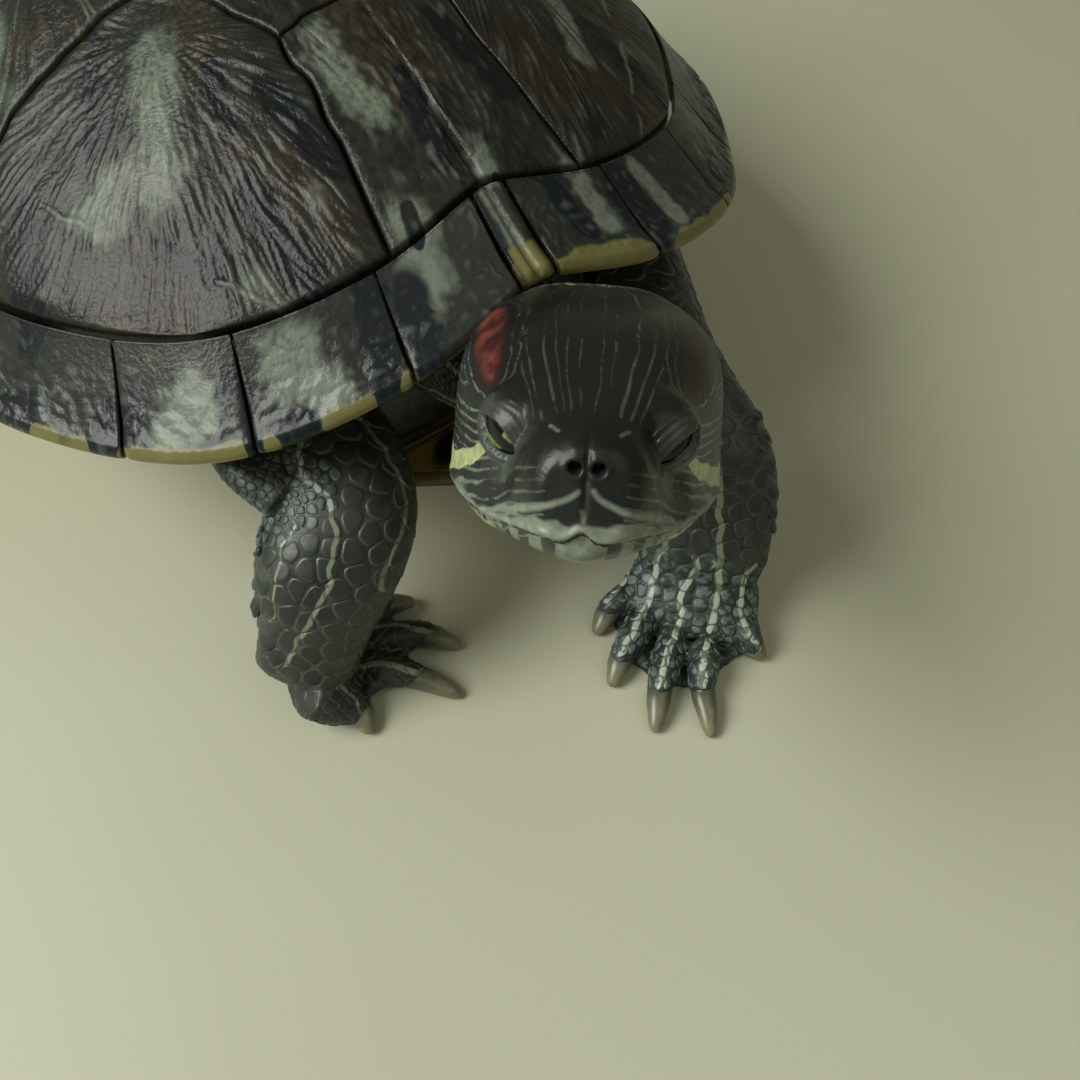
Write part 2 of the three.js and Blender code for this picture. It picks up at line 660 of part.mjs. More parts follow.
function buildFoot({ palm, palmSide, toes, toeRadius }) {
  let foot = tube(palm, 3, 8, 2.2, palmSide);
  toes.forEach(([root, knuckle, tip], k) => {
    const r = toeRadius;
    foot = foot.add(tube([[...root, 2.6, r, 2.6], [...mix(root, knuckle, 0.55), 3.2, r, 2.9],
      [...knuckle, 2.2, r * 0.86, 2.1]], 2, 7, 2, [0, 0, 1]));
    const bend = mix(knuckle, tip, 0.5);
    const start = mix(knuckle, root, 0.18);
    foot = foot.add(tube([[...start, 2.2, 1.8, 1.7], [...bend, 1.9, 1.35, 1.25],
      [...tip, 0.75, 0.6, 0.55]], 2, 5, 2, [0, 0, 1]));
    if (k > 0) {
      const last = toes[k - 1];
      const web = [last[0], mix(last[0], last[1], 0.75), mix(root, knuckle, 0.75), root];
      const middle = mix(mix(last[0], last[1], 0.5), mix(root, knuckle, 0.5), 0.5);
      const plan = web.map((p) => mix(middle, p, 1.02));
      const corner = (z) => (u, v) => [...mix(mix(plan[0], plan[3], u), mix(plan[1], plan[2], u), v), z];
      foot = foot.add(toSolid(slab(1, 1, corner(2.7), corner(0.9))));
    }
  });
  return foot.subtract(belowFloor);
}

const solids = {};
for (const [name, limb] of Object.entries(LIMBS)) {
  const at = ([x, y, z]) => new THREE.Vector3(x, y, z);
  const ankle = at(limb.leg[limb.leg.length - 1]);
  const down = ankle.clone().sub(at(limb.leg[limb.leg.length - 2])).normalize();
  const forward = at(limb.palm[2]).sub(ankle).normalize();
  let leg = tube(limb.leg, 8, 10, 2.2, limb.legSide);
  if (limb.fold) {
    leg = leg.add(tube(limb.fold, 4, 8));
  }
  leg = leg.subtract(trunkRoom).subtract(shellRoom).subtract(belowFloor);
  // The ankle plane parts the foot from the leg.
  const way = down.add(forward).normalize();
  const level = way.dot(ankle) - 0.4;
  const normal = [way.x, way.y, way.z];
  solids[`leg_${name}`] = leg.trimByPlane(normal.map((n) => -n), -level);
  solids[`foot_${name}`] = buildFoot(limb).trimByPlane(normal, level + GAP);
}
solids.neck = neckWhole.subtract(trunkRoom).subtract(shellRoom);
solids.head = poseHead(skull).subtract(neckRoom);
solids.lower_jaw = poseHead(jaw).subtract(neckRoom);
solids.tail = tube([[0, 66, 16, 8, 6], [1, 80, 13.5, 6.6, 5.4], [4, 92, 10.5, 4.4, 4.0],
  [9, 102, 7.5, 2.8, 2.6], [15, 109, 5.5, 1.5, 1.4]].map(withShell), 7, 10)
  .subtract(trunkRoom).subtract(shellRoom).subtract(belowFloor);
solids.trunk = trunk.subtract(shellRoom);

for (const [name, solid] of Object.entries(solids)) {
  const colour = name === 'head' || name === 'lower_jaw' ? COLOUR.head : COLOUR.skin;
  addPart(name, toGeometry(solid), colour, 0.55);
}
for (const [name, side] of [['eye_left', 1], ['eye_right', -1]]) {
  addPart(name, toGeometry(poseHead(eyeSpace(side, EYE_RADIUS))), COLOUR.eye, 0.15);
}

// ---- the frame: origin under the middle of the whole animal, on the floor --

const whole = new THREE.Box3();
turtle.children.forEach((mesh) => {
  mesh.geometry.computeBoundingBox();
  whole.union(mesh.geometry.boundingBox);
});
const centre = whole.getCenter(new THREE.Vector3());
turtle.children.forEach((mesh) => {
  mesh.geometry.translate(-centre.x, -centre.y, -whole.min.z);
});

export default turtle;
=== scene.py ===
# %% [markdown]
# A red-eared slider turtle, standing still with its neck stretched and its head
# turned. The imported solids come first: they fix the size and the place of all
# that follows, so every piece below is made over the solid it stands for.

# %% Load the frame
import math
import bpy
import numpy as np
from mathutils import Matrix, Vector


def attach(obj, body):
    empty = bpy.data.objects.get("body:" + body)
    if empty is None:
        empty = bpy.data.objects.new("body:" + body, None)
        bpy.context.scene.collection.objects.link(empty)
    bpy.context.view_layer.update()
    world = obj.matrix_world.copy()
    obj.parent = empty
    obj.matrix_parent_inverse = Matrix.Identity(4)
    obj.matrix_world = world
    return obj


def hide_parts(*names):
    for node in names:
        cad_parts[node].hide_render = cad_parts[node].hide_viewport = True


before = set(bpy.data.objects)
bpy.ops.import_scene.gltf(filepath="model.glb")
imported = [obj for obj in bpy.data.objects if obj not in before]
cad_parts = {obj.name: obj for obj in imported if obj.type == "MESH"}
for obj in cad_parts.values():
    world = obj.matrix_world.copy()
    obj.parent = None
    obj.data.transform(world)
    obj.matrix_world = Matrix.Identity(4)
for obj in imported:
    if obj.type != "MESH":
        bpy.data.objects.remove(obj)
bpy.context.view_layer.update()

MM = 0.001
SHIFT = np.array([-18.79, 15.913, 0.0])   # from the animal's own axes to the part's

# %% [markdown]
# The view comes next. The animal is seen from in front, from its right and from
# above, close up, with a lens as long as the picture is wide.

# %% Camera
def place_camera(spot, ahead, right):
    bpy.ops.object.select_all(action="DESELECT")
    bpy.ops.object.camera_add()
    camera = bpy.context.object
    ahead = Vector(ahead).normalized()
    right = (Vector(right) - ahead * ahead.dot(Vector(right))).normalized()
    turn = Matrix((right, right.cross(ahead), -ahead)).transposed()
    camera.matrix_world = Matrix.Translation(Vector(spot)) @ turn.to_4x4()
    camera.data.sensor_width = 36
    camera.data.lens = 36
    camera.data.clip_start = 0.005
    bpy.context.scene.camera = camera
    return camera


AZIMUTH, DOWN, ROLL = (math.radians(a) for a in (46.94, 54.87, 3.22))
flat = Vector((math.sin(AZIMUTH), math.cos(AZIMUTH), 0))
ahead = flat * math.cos(DOWN) - Vector((0, 0, math.sin(DOWN)))
level = Vector((flat.y, -flat.x, 0))
right = level * math.cos(ROLL) + level.cross(ahead) * math.sin(ROLL)
eye_spot = (np.array([-84.4, -168.5, 165.7]) + SHIFT) * MM
place_camera(eye_spot, ahead, right)
print("camera at", eye_spot.round(4))

# %% [markdown]
# Small helpers. Every material is built node by node with one function, and every
# colour is an sRGB hex value turned to linear light by another. Noise made with
# numpy gives the ridges and wrinkles that are cut into the meshes themselves.

# %% Helpers for colour and nodes
def linear(hex_text):
    parts = [int(hex_text[i:i + 2], 16) / 255 for i in (0, 2, 4)]
    return tuple(p / 12.92 if p <= 0.04045 else ((p + 0.055) / 1.055) ** 2.4 for p in parts) + (1.0,)


def new_material(name):
    material = bpy.data.materials.new(name)
    material.use_nodes = True
    tree = material.node_tree
    tree.nodes.clear()
    return material, tree


def node(tree, kind, settings=None, **links):
    made = tree.nodes.new(kind)
    for key, value in (settings or {}).items():
        if isinstance(key, int) or key in made.inputs:
            made.inputs[key].default_value = value
        else:
            setattr(made, key, value)
    for key, source in links.items():
        socket = made.inputs[int(key[1:])] if key[0] == "i" and key[1:].isdigit() else made.inputs[key.replace("_", " ")]
        if isinstance(source, tuple):
            tree.links.new(source[0].outputs[source[1]], socket)
        else:
            tree.links.new(source.outputs[0], socket)
    return made


def ramp(tree, source, stops, mode="LINEAR"):
    made = node(tree, "ShaderNodeValToRGB", {}, Fac=source)
    made.color_ramp.interpolation = mode
    elements = made.color_ramp.elements
    while len(elements) < len(stops):
        elements.new(0.5)
    for element, (place, colour) in zip(elements, stops):
        element.position = place
        element.color = linear(colour) if isinstance(colour, str) else (colour, colour, colour, 1)
    return made


# %% Helpers for noise
def lattice(seed):
    rng = np.random.default_rng(seed)
    angle = rng.random((256, 256)) * 2 * np.pi
    return np.cos(angle), np.sin(angle)


LATTICES = {seed: lattice(seed) for seed in range(6)}


def noise(x, y, seed=0):
    gx, gy = LATTICES[seed % 6]
    x = x + 37.7 * seed
    y = y + 91.3 * seed
    x0 = np.floor(x).astype(int)
    y0 = np.floor(y).astype(int)
    fx = x - x0
    fy = y - y0
    sx = fx * fx * fx * (fx * (fx * 6 - 15) + 10)
    sy = fy * fy * fy * (fy * (fy * 6 - 15) + 10)

    def corner(i, j):
        a = (x0 + i) % 256
        b = (y0 + j) % 256
        return gx[a, b] * (fx - i) + gy[a, b] * (fy - j)

    low = corner(0, 0) * (1 - sx) + corner(1, 0) * sx
    high = corner(0, 1) * (1 - sx) + corner(1, 1) * sx
    return (low * (1 - sy) + high * sy) * 1.45


def ridged(x, y, seed=0):
    return 1 - 2 * np.abs(noise(x, y, seed))


def smooth(x, a, b):
    t = np.clip((x - a) / (b - a), 0, 1)
    return t * t * (3 - 2 * t)


def mix(a, b, t):
    return a + (b - a) * t


# %% Helpers for meshes
def coords(piece):
    out = np.empty(len(piece.data.vertices) * 3)
    piece.data.vertices.foreach_get("co", out)
    return out.reshape(-1, 3)


def set_coords(piece, points):
    piece.data.vertices.foreach_set("co", np.ascontiguousarray(points, dtype=float).ravel())
    piece.data.update()


def normals(piece):
    out = np.empty(len(piece.data.vertices) * 3)
    piece.data.vertices.foreach_get("normal", out)
    return out.reshape(-1, 3)


def add_attribute(piece, name, values):
    layer = piece.data.attributes.new(name, "FLOAT", "POINT")
    layer.data.foreach_set("value", np.ascontiguousarray(values, dtype=np.float32))


def finish_piece(piece, name, material, nodes):
    piece.name = name
    piece.data.name = name
    piece.data.materials.clear()
    piece.data.materials.append(material)
    piece.data.polygons.foreach_set("use_smooth", [True] * len(piece.data.polygons))
    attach(piece, "root")
    if nodes:
        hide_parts(*nodes)


def add_grid(columns, rows):
    bpy.ops.object.select_all(action="DESELECT")
    bpy.ops.mesh.primitive_grid_add(x_subdivisions=columns, y_subdivisions=rows, size=1)
    piece = bpy.context.object
    at = coords(piece)
    return piece, at[:, 0] + 0.5, at[:, 1] + 0.5

# %% [markdown]
# The shell is a low dome over an oval rim. Its height at any spot of the plan comes
# from how far out that spot lies toward the rim, so neighbouring scutes meet along
# their seams by themselves. The whole shell is tipped up in front and swung a little.

# %% Shape of the dome
RIM = np.array([
    [0, -94.3, 41.0], [3.3, -95.0, 41.0], [21.5, -95.3, 35.5], [43.0, -86.8, 29.5],
    [57.5, -72.0, 26.5], [70.0, -50.5, 26.5], [76.5, -24.0, 26.5], [79.0, 3.0, 26.0],
    [78.0, 28.0, 26.0], [71.5, 52.0, 27.0], [59.0, 74.5, 28.5], [40.0, 91.5, 29.5],
    [16.5, 99.5, 30.0], [0, 99.0, 31.0]])
CENTRE_Y = 5
PEAK = 80
INNER = 0.88
GAP = 0.34
NUCHAL = np.array([-2.5, -88.8, 66.4])


def through(rows, index):
    padded = np.vstack([2 * rows[0] - rows[1], rows, 2 * rows[-1] - rows[-2]])
    at = np.clip(np.asarray(index, float), 0, len(rows) - 1)
    k = np.minimum(at.astype(int), len(rows) - 2)
    t = (at - k)[..., None]
    before, start, end, after = (padded[k + i] for i in range(4))
    return ((2 * t**3 - 3 * t**2 + 1) * start + (t**3 - 2 * t**2 + t) * (end - before) / 2
            + (3 * t**2 - 2 * t**3) * end + (t**3 - t**2) * (after - start) / 2)


def rim(row):
    out = through(RIM, np.abs(row))
    out[..., 0] = np.where(np.asarray(row) < 0, -1, 1) * np.maximum(out[..., 0], 0)
    return out


outline = rim(np.arange(0, 13.001, 0.02))
OUTLINE_ANGLE = np.arctan2(outline[:, 0], CENTRE_Y - outline[:, 1])
OUTLINE_REACH = np.hypot(outline[:, 0], outline[:, 1] - CENTRE_Y)


def plan_place(x, y):
    angle = np.arctan2(np.abs(x), CENTRE_Y - y)
    share = np.hypot(x, y - CENTRE_Y) / np.interp(angle, OUTLINE_ANGLE, OUTLINE_REACH)
    return angle, share, np.interp(angle, OUTLINE_ANGLE, outline[:, 2])


def dome(x, y):
    angle, share, edge = plan_place(x, y)
    power = 1.9 + 0.4 * smooth(angle, 0.2, 2.6)
    rise = 1 - np.minimum(share, 1) ** power
    at_seam = 1 - INNER ** power
    flare = at_seam * ((1 - np.minimum(share, 1)) / (1 - INNER)) ** 1.2
    return edge + (PEAK - edge) * np.where(share > INNER, flare, rise)


def seam_point(row, share=INNER):
    out = rim(row)
    return np.stack([out[..., 0] * share, CENTRE_Y + (out[..., 1] - CENTRE_Y) * share], -1)


def turn(axis, degrees):
    return np.array(Matrix.Rotation(math.radians(degrees), 3, axis))


SHELL_TURN = turn("X", -7.2) @ turn("Y", -1.0) @ turn("Z", -8.0)


def pose_shell(points):
    return (points - [0, RIM[0][1], RIM[0][2]]) @ SHELL_TURN.T + NUCHAL + SHIFT


print("dome top", round(float(pose_shell(np.array([[0, 5, 80.0]]))[0, 2]), 1), "mm above the floor")

# %% [markdown]
# Scutes are sheets of horn grown outward from an old nub, the areola. Each year
# adds a band at the edge, and in an old female the surface is cut by fine ridges
# that fan out from the areola. Each scute here is one closed sheet: a fine grid laid
# on the dome, ridges pushed along its own normal, the edge rolled down to the seam.

# %% Paths of the seams
def along_path(points):
    points = np.array(points, float)
    steps = np.r_[0, np.cumsum(np.hypot(*np.diff(points, axis=0).T))]
    return lambda t: np.stack([np.interp(t * steps[-1], steps, points[:, k]) for k in (0, 1)], -1)


def along_seam(row_a, row_b):
    return lambda t: seam_point(row_a + (row_b - row_a) * t)


def across(point):
    return lambda t: np.stack([point[0] * (2 * t - 1), np.full_like(t, point[1])], -1)


def mirrored(edge):
    return lambda t: edge(t) * [-1, 1]


def patch(near, far, left, right):
    def plan(u, v):
        a = u[..., None]
        b = v[..., None]
        zero = np.zeros_like(u)
        one = np.ones_like(u)
        corners = ((1 - a) * (1 - b) * near(zero) + a * (1 - b) * near(one)
                   + (1 - a) * b * far(zero) + a * b * far(one))
        return (1 - b) * near(u) + b * far(u) + (1 - a) * left(v) + a * right(v) - corners
    return plan


WAIST, SEAM12, WIDE2, SEAM23 = [14, -69], [12.5, -53.5], [21.5, -35], [15, -14]
WIDE3, SEAM34, WIDE4, SEAM45 = [22, 4], [15, 23], [20, 42], [10.5, 60]
FRONT, NOSE, C12, C23, C34, REAR = 1.85, 3.3, 5.55, 7.55, 9.5, 11.3
corner = {row: seam_point(np.array(row)) for row in (FRONT, C12, C23, C34, REAR)}


def around_rear(t):
    row = REAR + (26 - 2 * REAR) * t
    left = seam_point(np.minimum(row, 13)) * [-1, 1]
    return np.where((row <= 13)[..., None], left, seam_point(26 - np.maximum(row, 13)))


VERTEBRALS = [
    (along_path([corner[FRONT], WAIST, SEAM12]), lambda t: seam_point(FRONT * (2 * t - 1)), across(SEAM12)),
    (along_path([SEAM12, WIDE2, SEAM23]), across(SEAM12), across(SEAM23)),
    (along_path([SEAM23, WIDE3, SEAM34]), across(SEAM23), across(SEAM34)),
    (along_path([SEAM34, WIDE4, SEAM45]), across(SEAM34), across(SEAM45)),
    (along_path([SEAM45, corner[REAR]]), across(SEAM45), around_rear)]
COSTALS = [
    (along_seam(FRONT, NOSE), along_path([WIDE2, corner[C12]]),
     along_path([corner[FRONT], WAIST, SEAM12, WIDE2]), along_seam(NOSE, C12)),
    (along_path([WIDE2, corner[C12]]), along_path([WIDE3, corner[C23]]),
     along_path([WIDE2, SEAM23, WIDE3]), along_seam(C12, C23)),
    (along_path([WIDE3, corner[C23]]), along_path([WIDE4, corner[C34]]),
     along_path([WIDE3, SEAM34, WIDE4]), along_seam(C23, C34)),
    (along_path([WIDE4, corner[C34]]), along_path([SEAM45, corner[REAR]]),
     along_path([WIDE4, SEAM45]), along_seam(C34, REAR))]

# %% Colour pattern and ridges of the carapace
def fan_ridges(x, y, seed, hub, pitch):
    angle = np.arctan2(x - hub[0], y - hub[1])
    out = np.hypot(x - hub[0], y - hub[1])
    wander = noise(x / 9, y / 9, seed) * 0.7
    fine = np.abs(noise(angle * 36 / pitch + wander, out / 8.0, seed + 1))
    broad = noise(angle * 10 / pitch + wander, out / 12, seed + 2)
    beads = noise(angle * 40 / pitch, out / 1.3, seed + 3)
    return (fine - 0.3) * 1.5 + broad * 0.4 + beads * 0.3 * smooth(fine, 0.15, 0.5), out


def long_ridges(x, y, seed, pitch):
    wander = noise(x / 12, y / 14, seed) * 1.0
    fine = np.abs(noise(x / pitch + wander, y / 4.5, seed + 1))
    broad = noise(x / (3.2 * pitch) + wander, y / 13, seed + 2)
    beads = noise(x / (0.8 * pitch), y / 1.5, seed + 3)
    return (fine - 0.3) * 1.2 + broad * 0.45 + beads * 0.35


# Each blotch is a soft stroke: start, end and half width, on the plan of the shell.
DARK = [
    (-32.5, -36, -39.5, -46, 2.6), (-27.5, -67.5, -26.5, -79, 3.4), (-33, -68, -36, -74, 1.6),
    (-18, -58, -15.5, -72, 2.6), (-1, -67, -3.5, -78, 2.3), (-52, -43, -59, -52, 3.6), (-40.5, -61.5, -36, -70, 1.7),
    (-22, -51, -25, -59, 1.7), (-17, -91, -19, -94, 3.2), (-11, -80.5, -12, -84, 1.4), (-21.5, -86, -24, -92, 4.0),
    (-36, -90, -38, -88, 2.4), (-39.5, -79, -43, -87, 1.9), (-54, -70, -58, -68, 3.4), (-64.5, -57, -67, -53, 2.6),
    (21, -86, 23, -92, 4.2), (8.5, -84, 11, -91, 2.2), (2.3, -83, 3.2, -90, 0.9), (-2.6, -82, -2.6, -92, 0.7),
    (36, -60, 44, -70, 3.0), (9, -60, 12, -72, 2.4), (46, -80, 50, -78, 4.0), (62, -40, 70, -52, 4.0)]
PALE = [
    (-27.5, -44, -34, -56, 4.6), (-34, -56, -43.5, -51, 5.5), (-12, -82, -14, -88, 4.6), (-33.5, -83, -33, -89, 5.0),
    (-9, -57, -8, -69, 3.6), (2, -78, 1.5, -82, 2.6), (14, -84, 15, -91, 2.4), (26, -84, 29, -90, 2.2),
    (-46, -77, -50, -76, 4.5), (-0.5, -84, -0.5, -93, 1.3), (32, -56, 30, -66, 3.0)]
BROWN = [
    (-47, -60, -44, -68, 7.5), (-22, -68, -20, -78, 4.5), (-1, -56, -1, -66, 7.0), (20, -66, 34, -74, 8.0),
    (-20, -42, -22, -50, 4.0), (40, -50, 52, -60, 8.0)]


def strokes(x, y, listed):
    best = np.full(len(x), -1.0)
    for ax, ay, bx, by, radius in listed:
        long_x, long_y = bx - ax, by - ay
        t = np.clip(((x - ax) * long_x + (y - ay) * long_y) / (long_x ** 2 + long_y ** 2), 0, 1)
        best = np.maximum(best, 1 - np.hypot(x - ax - long_x * t, y - ay - long_y * t) / radius)
    return best


def carapace_tones(x, y):
    placed = (1 - smooth(y, -50, -20)) * (1 - smooth(x, 30, 60))
    ragged = 0.7 * noise(x / 3.4, y / 3.4, 3) + 0.35 * noise(x / 1.3, y / 1.3, 4)
    dark = noise(x / 13, y / 13, 1) + 0.5 * noise(x / 6, y / 6, 2) - 0.5 * placed
    pale = noise(x / 17 + 5, y / 17, 3) + 0.4 * noise(x / 7, y / 7, 4) - 0.5 * placed
    brown = noise(x / 15, y / 15 + 9, 5) + 0.4 * noise(x / 6, y / 6, 0) - 0.2 * placed
    dark = np.maximum(dark, strokes(x, y, DARK) * 1.1 + ragged * 0.5)
    pale = np.maximum(pale, strokes(x, y, PALE) * 0.95 + ragged * 0.45)
    brown = np.maximum(brown, strokes(x, y, BROWN) * 0.9 + ragged * 0.3)
    return dark, pale, brown


def edge_distance(u, v, plan):
    zero = np.zeros_like(u)
    one = np.ones_like(u)
    width = np.linalg.norm(plan(one, v) - plan(zero, v), axis=-1)
    length = np.linalg.norm(plan(u, one) - plan(u, zero), axis=-1)
    return u * width, (1 - u) * width, v * length, (1 - v) * length


def wander_seams(x, y):
    """The old seams wander a little; they run straight again where they meet the rim."""
    amount = 1 - smooth(plan_place(x, y)[1], 0.66, 0.86)
    return (x + amount * (1.5 * noise(x / 13, y / 9, 2) + 0.35 * noise(x / 4, y / 4, 3)),
            y + amount * (1.2 * noise(x / 11, y / 12, 4) + 0.35 * noise(x / 4, y / 4, 5)))


def build_scute(name, plan, columns, rows, ridges, material):
    piece, u, v = add_grid(columns, rows)
    near_u, far_u, near_v, far_v = edge_distance(u, v, plan)
    inset_u = 0.62 * GAP / np.maximum(near_u + far_u, 1)
    inset_v = 0.62 * GAP / np.maximum(near_v + far_v, 1)
    at = plan(inset_u + u * (1 - 2 * inset_u), inset_v + v * (1 - 2 * inset_v))
    x, y = wander_seams(at[:, 0], at[:, 1])
    z = dome(x, y)
    step = 0.3
    slope = np.stack([(dome(x - step, y) - dome(x + step, y)) / (2 * step),
                      (dome(x, y - step) - dome(x, y + step)) / (2 * step), np.ones_like(x)], -1)
    out = slope / np.linalg.norm(slope, axis=1)[:, None]
    edge = np.minimum(np.minimum(near_u, far_u), np.minimum(near_v, far_v))
    ridge, relief = ridges(x, y, u, v, (near_u, far_u, near_v, far_v))
    roll = 0.34 * np.exp(-(edge / 0.3) ** 1.5) + 0.1 * np.exp(-((edge - 0.2) / 2.0) ** 2)
    lift = relief * smooth(edge, 0.1, 2.5) - roll - 0.12
    points = np.stack([x, y, z], -1) + out * lift[:, None]
    set_coords(piece, pose_shell(points) * MM)
    dark, pale, brown = carapace_tones(x, y)
    # The ridge value goes to the horn colour, which paints crests paler as a painted highlight and valleys darker as
    # painted shade.
    for key, values in (("dark", dark), ("pale", pale), ("brown", brown), ("ridge", ridge), ("edge", edge)):
        add_attribute(piece, key, values)
    close_sheet(piece, np.array(SHELL_TURN @ [0, 0, -1]), 2.0)
    finish_piece(piece, name + "_horn", material, [name])
    return piece


def close_sheet(piece, way, depth):
    bpy.ops.object.mode_set(mode="EDIT")
    bpy.ops.mesh.select_all(action="DESELECT")
    bpy.ops.mesh.select_mode(type="EDGE")
    bpy.ops.mesh.select_non_manifold(extend=False, use_wire=False, use_multi_face=False,
                                     use_non_contiguous=False, use_verts=False)
    move = tuple(float(w) * depth * MM for w in way)
    bpy.ops.mesh.extrude_region_move(TRANSFORM_OT_translate={"value": move})
    bpy.ops.mesh.edge_face_add()
    bpy.ops.mesh.select_all(action="SELECT")
    bpy.ops.mesh.normals_make_consistent(inside=False)
    bpy.ops.object.mode_set(mode="OBJECT")

# %% [markdown]
# Wet horn. The ground is a dark olive grey. Blue-black blotches, paler grey-green
# patches and a little brown lie in it. The seams are darker with old algae. Ridge
# crests are painted paler as a painted highlight, valleys darker as painted shade,
# and a thin film of water makes the whole shell shine.

# %% Horn of the carapace
def attribute(tree, name):
    return node(tree, "ShaderNodeAttribute", {"attribute_name": name})


def value(source):
    return (source, 2)


def fade(tree, source, low, high, to_low=0.0, to_high=1.0):
    return node(tree, "ShaderNodeMapRange",
                {"interpolation_type": "SMOOTHSTEP", 1: low, 2: high, 3: to_low, 4: to_high}, i0=source)


def blend_colours(tree, amount, first, second, mode="MIX"):
    made = node(tree, "ShaderNodeMix", {"data_type": "RGBA", "blend_type": mode})
    for index, source in ((0, amount), (6, first), (7, second)):
        if isinstance(source, str):
            made.inputs[index].default_value = linear(source)
        elif isinstance(source, (int, float)):
            made.inputs[index].default_value = source
        elif isinstance(source, tuple):
            tree.links.new(source[0].outputs[source[1]], made.inputs[index])
        else:
            tree.links.new(source.outputs[0], made.inputs[index])
    return (made, 2)


def maths(tree, operation, first, second=None):
    made = node(tree, "ShaderNodeMath", {"operation": operation})
    for index, source in ((0, first), (1, second)):
        if isinstance(source, (int, float)):
            made.inputs[index].default_value = source
        elif isinstance(source, tuple):
            tree.links.new(source[0].outputs[source[1]], made.inputs[index])
        elif source is not None:
            tree.links.new(source.outputs[0], made.inputs[index])
    return made


def object_noise(tree, scale, detail=3.0, rough=0.55):
    place = node(tree, "ShaderNodeTexCoord")
    return node(tree, "ShaderNodeTexNoise", {"Scale": scale, "Detail": detail, "Roughness": rough},
                Vector=(place, 3))


def finish_surface(tree, colour, roughness, bump=None, strength=0.3, distance=0.0002, coat=0.0,
                   coat_rough=0.1, shine=0.5):
    surface = node(tree, "ShaderNodeBsdfPrincipled",
                   {"Coat Weight": coat, "Coat Roughness": coat_rough, "Specular IOR Level": shine})
    tree.links.new(colour[0].outputs[colour[1]], surface.inputs["Base Color"])
    if isinstance(roughness, (int, float)):
        surface.inputs["Roughness"].default_value = roughness
    else:
        tree.links.new(roughness.outputs[0], surface.inputs["Roughness"])
    if bump:
        relief = node(tree, "ShaderNodeBump", {"Strength": strength, "Distance": distance}, Height=bump)
        tree.links.new(relief.outputs[0], surface.inputs["Normal"])
        tree.links.new(relief.outputs[0], surface.inputs["Coat Normal"])
    out = node(tree, "ShaderNodeOutputMaterial")
    tree.links.new(surface.outputs[0], out.inputs[0])


def make_horn():
    material, tree = new_material("carapace_horn_wet")
    small = object_noise(tree, 1400, 4)
    colour = blend_colours(tree, fade(tree, value(attribute(tree, "brown")), 0.0, 0.45), "272a25", "322b21")
    colour = blend_colours(tree, fade(tree, value(attribute(tree, "pale")), 0.05, 0.6), colour, "6c7365")
    colour = blend_colours(tree, fade(tree, value(attribute(tree, "dark")), 0.08, 0.4, 0, 0.96), colour, "0b1218")
    # Painted highlight: ridge crests are painted paler; the next line paints the valleys darker as painted shade.
    colour = blend_colours(tree, fade(tree, value(attribute(tree, "ridge")), 0.1, 1.0, 0, 0.4), colour, "82887a")
    colour = blend_colours(tree, fade(tree, value(attribute(tree, "ridge")), 0.0, -0.5, 0, 0.65), colour, "10110d")
    colour = blend_colours(tree, fade(tree, value(attribute(tree, "edge")), 0.05, 0.7, 0.75, 0), colour, "0e0f0c")
    colour = blend_colours(tree, fade(tree, small, 0.35, 0.75, 0, 0.4), colour, "191a15")
    rough = fade(tree, object_noise(tree, 260, 4), 0.3, 0.7, 0.5, 0.7)
    finish_surface(tree, colour, rough, small, 0.8, 0.00017, 0.3, 0.13, 0.1)
    return material


HORN = make_horn()


def costal_ridges(seed, hub, pitch=1.35):
    def ridges(x, y, u, v, edges):
        ridge, out = fan_ridges(x, y, seed, hub, pitch)
        year = edges[1] - 12.5 + 0.8 * noise(x / 5, y / 5, seed)
        step = np.exp(-(year / 0.45) ** 2) * smooth(noise(x / 9, y / 9, seed + 2), -0.15, 0.25)
        calm = 1 - 0.45 * smooth(-year, 0.5, 3.0)
        relief = 0.26 * ridge * calm * smooth(out, 2, 9) + 0.2 * step + 0.5 * noise(x / 14, y / 14, seed)
        # The growth line is added to the ridge value, so it too is painted paler as a painted highlight.
        return ridge * calm + 1.3 * step, relief
    return ridges


def vertebral_ridges(seed):
    def ridges(x, y, u, v, edges):
        ridge = long_ridges(x, y, seed, 1.25)
        return ridge, 0.2 * ridge + 0.45 * noise(x / 9, y / 22, seed) - 0.22
    return ridges


HUBS = [(-25.5, -42), (-27, -12), (-26, 21), (-20, 48)]
FINE = [(150, 170), (130, 130), (120, 120), (100, 100)]
for number, (edges, hub, size) in enumerate(zip(COSTALS, HUBS, FINE), 1):
    left = patch(*edges)
    right = lambda u, v, plan=left: plan(u, v) * [-1, 1]
    build_scute(f"costal_right_{number}", right, *size, costal_ridges(number, hub), HORN)
    build_scute(f"costal_left_{number}", left, *size, costal_ridges(number + 2, (-hub[0], hub[1])), HORN)
for number, (side, near, far) in enumerate(VERTEBRALS, 1):
    plan = patch(near, far, mirrored(side), side)
    size = (130, 110) if number < 3 else (100, 90)
    build_scute(f"vertebral_{number}", plan, *size, vertebral_ridges(number), HORN)
print("costals and vertebrals:", len(HUBS) * 2 + len(VERTEBRALS))

# %% [markdown]
# The marginals wrap the rim. Each is one closed tube of horn: its upper face runs on
# from the costals, it turns over a rounded lip, yellow along the very edge, and comes
# back under. In the middle of the shell it reaches down to the bridge.

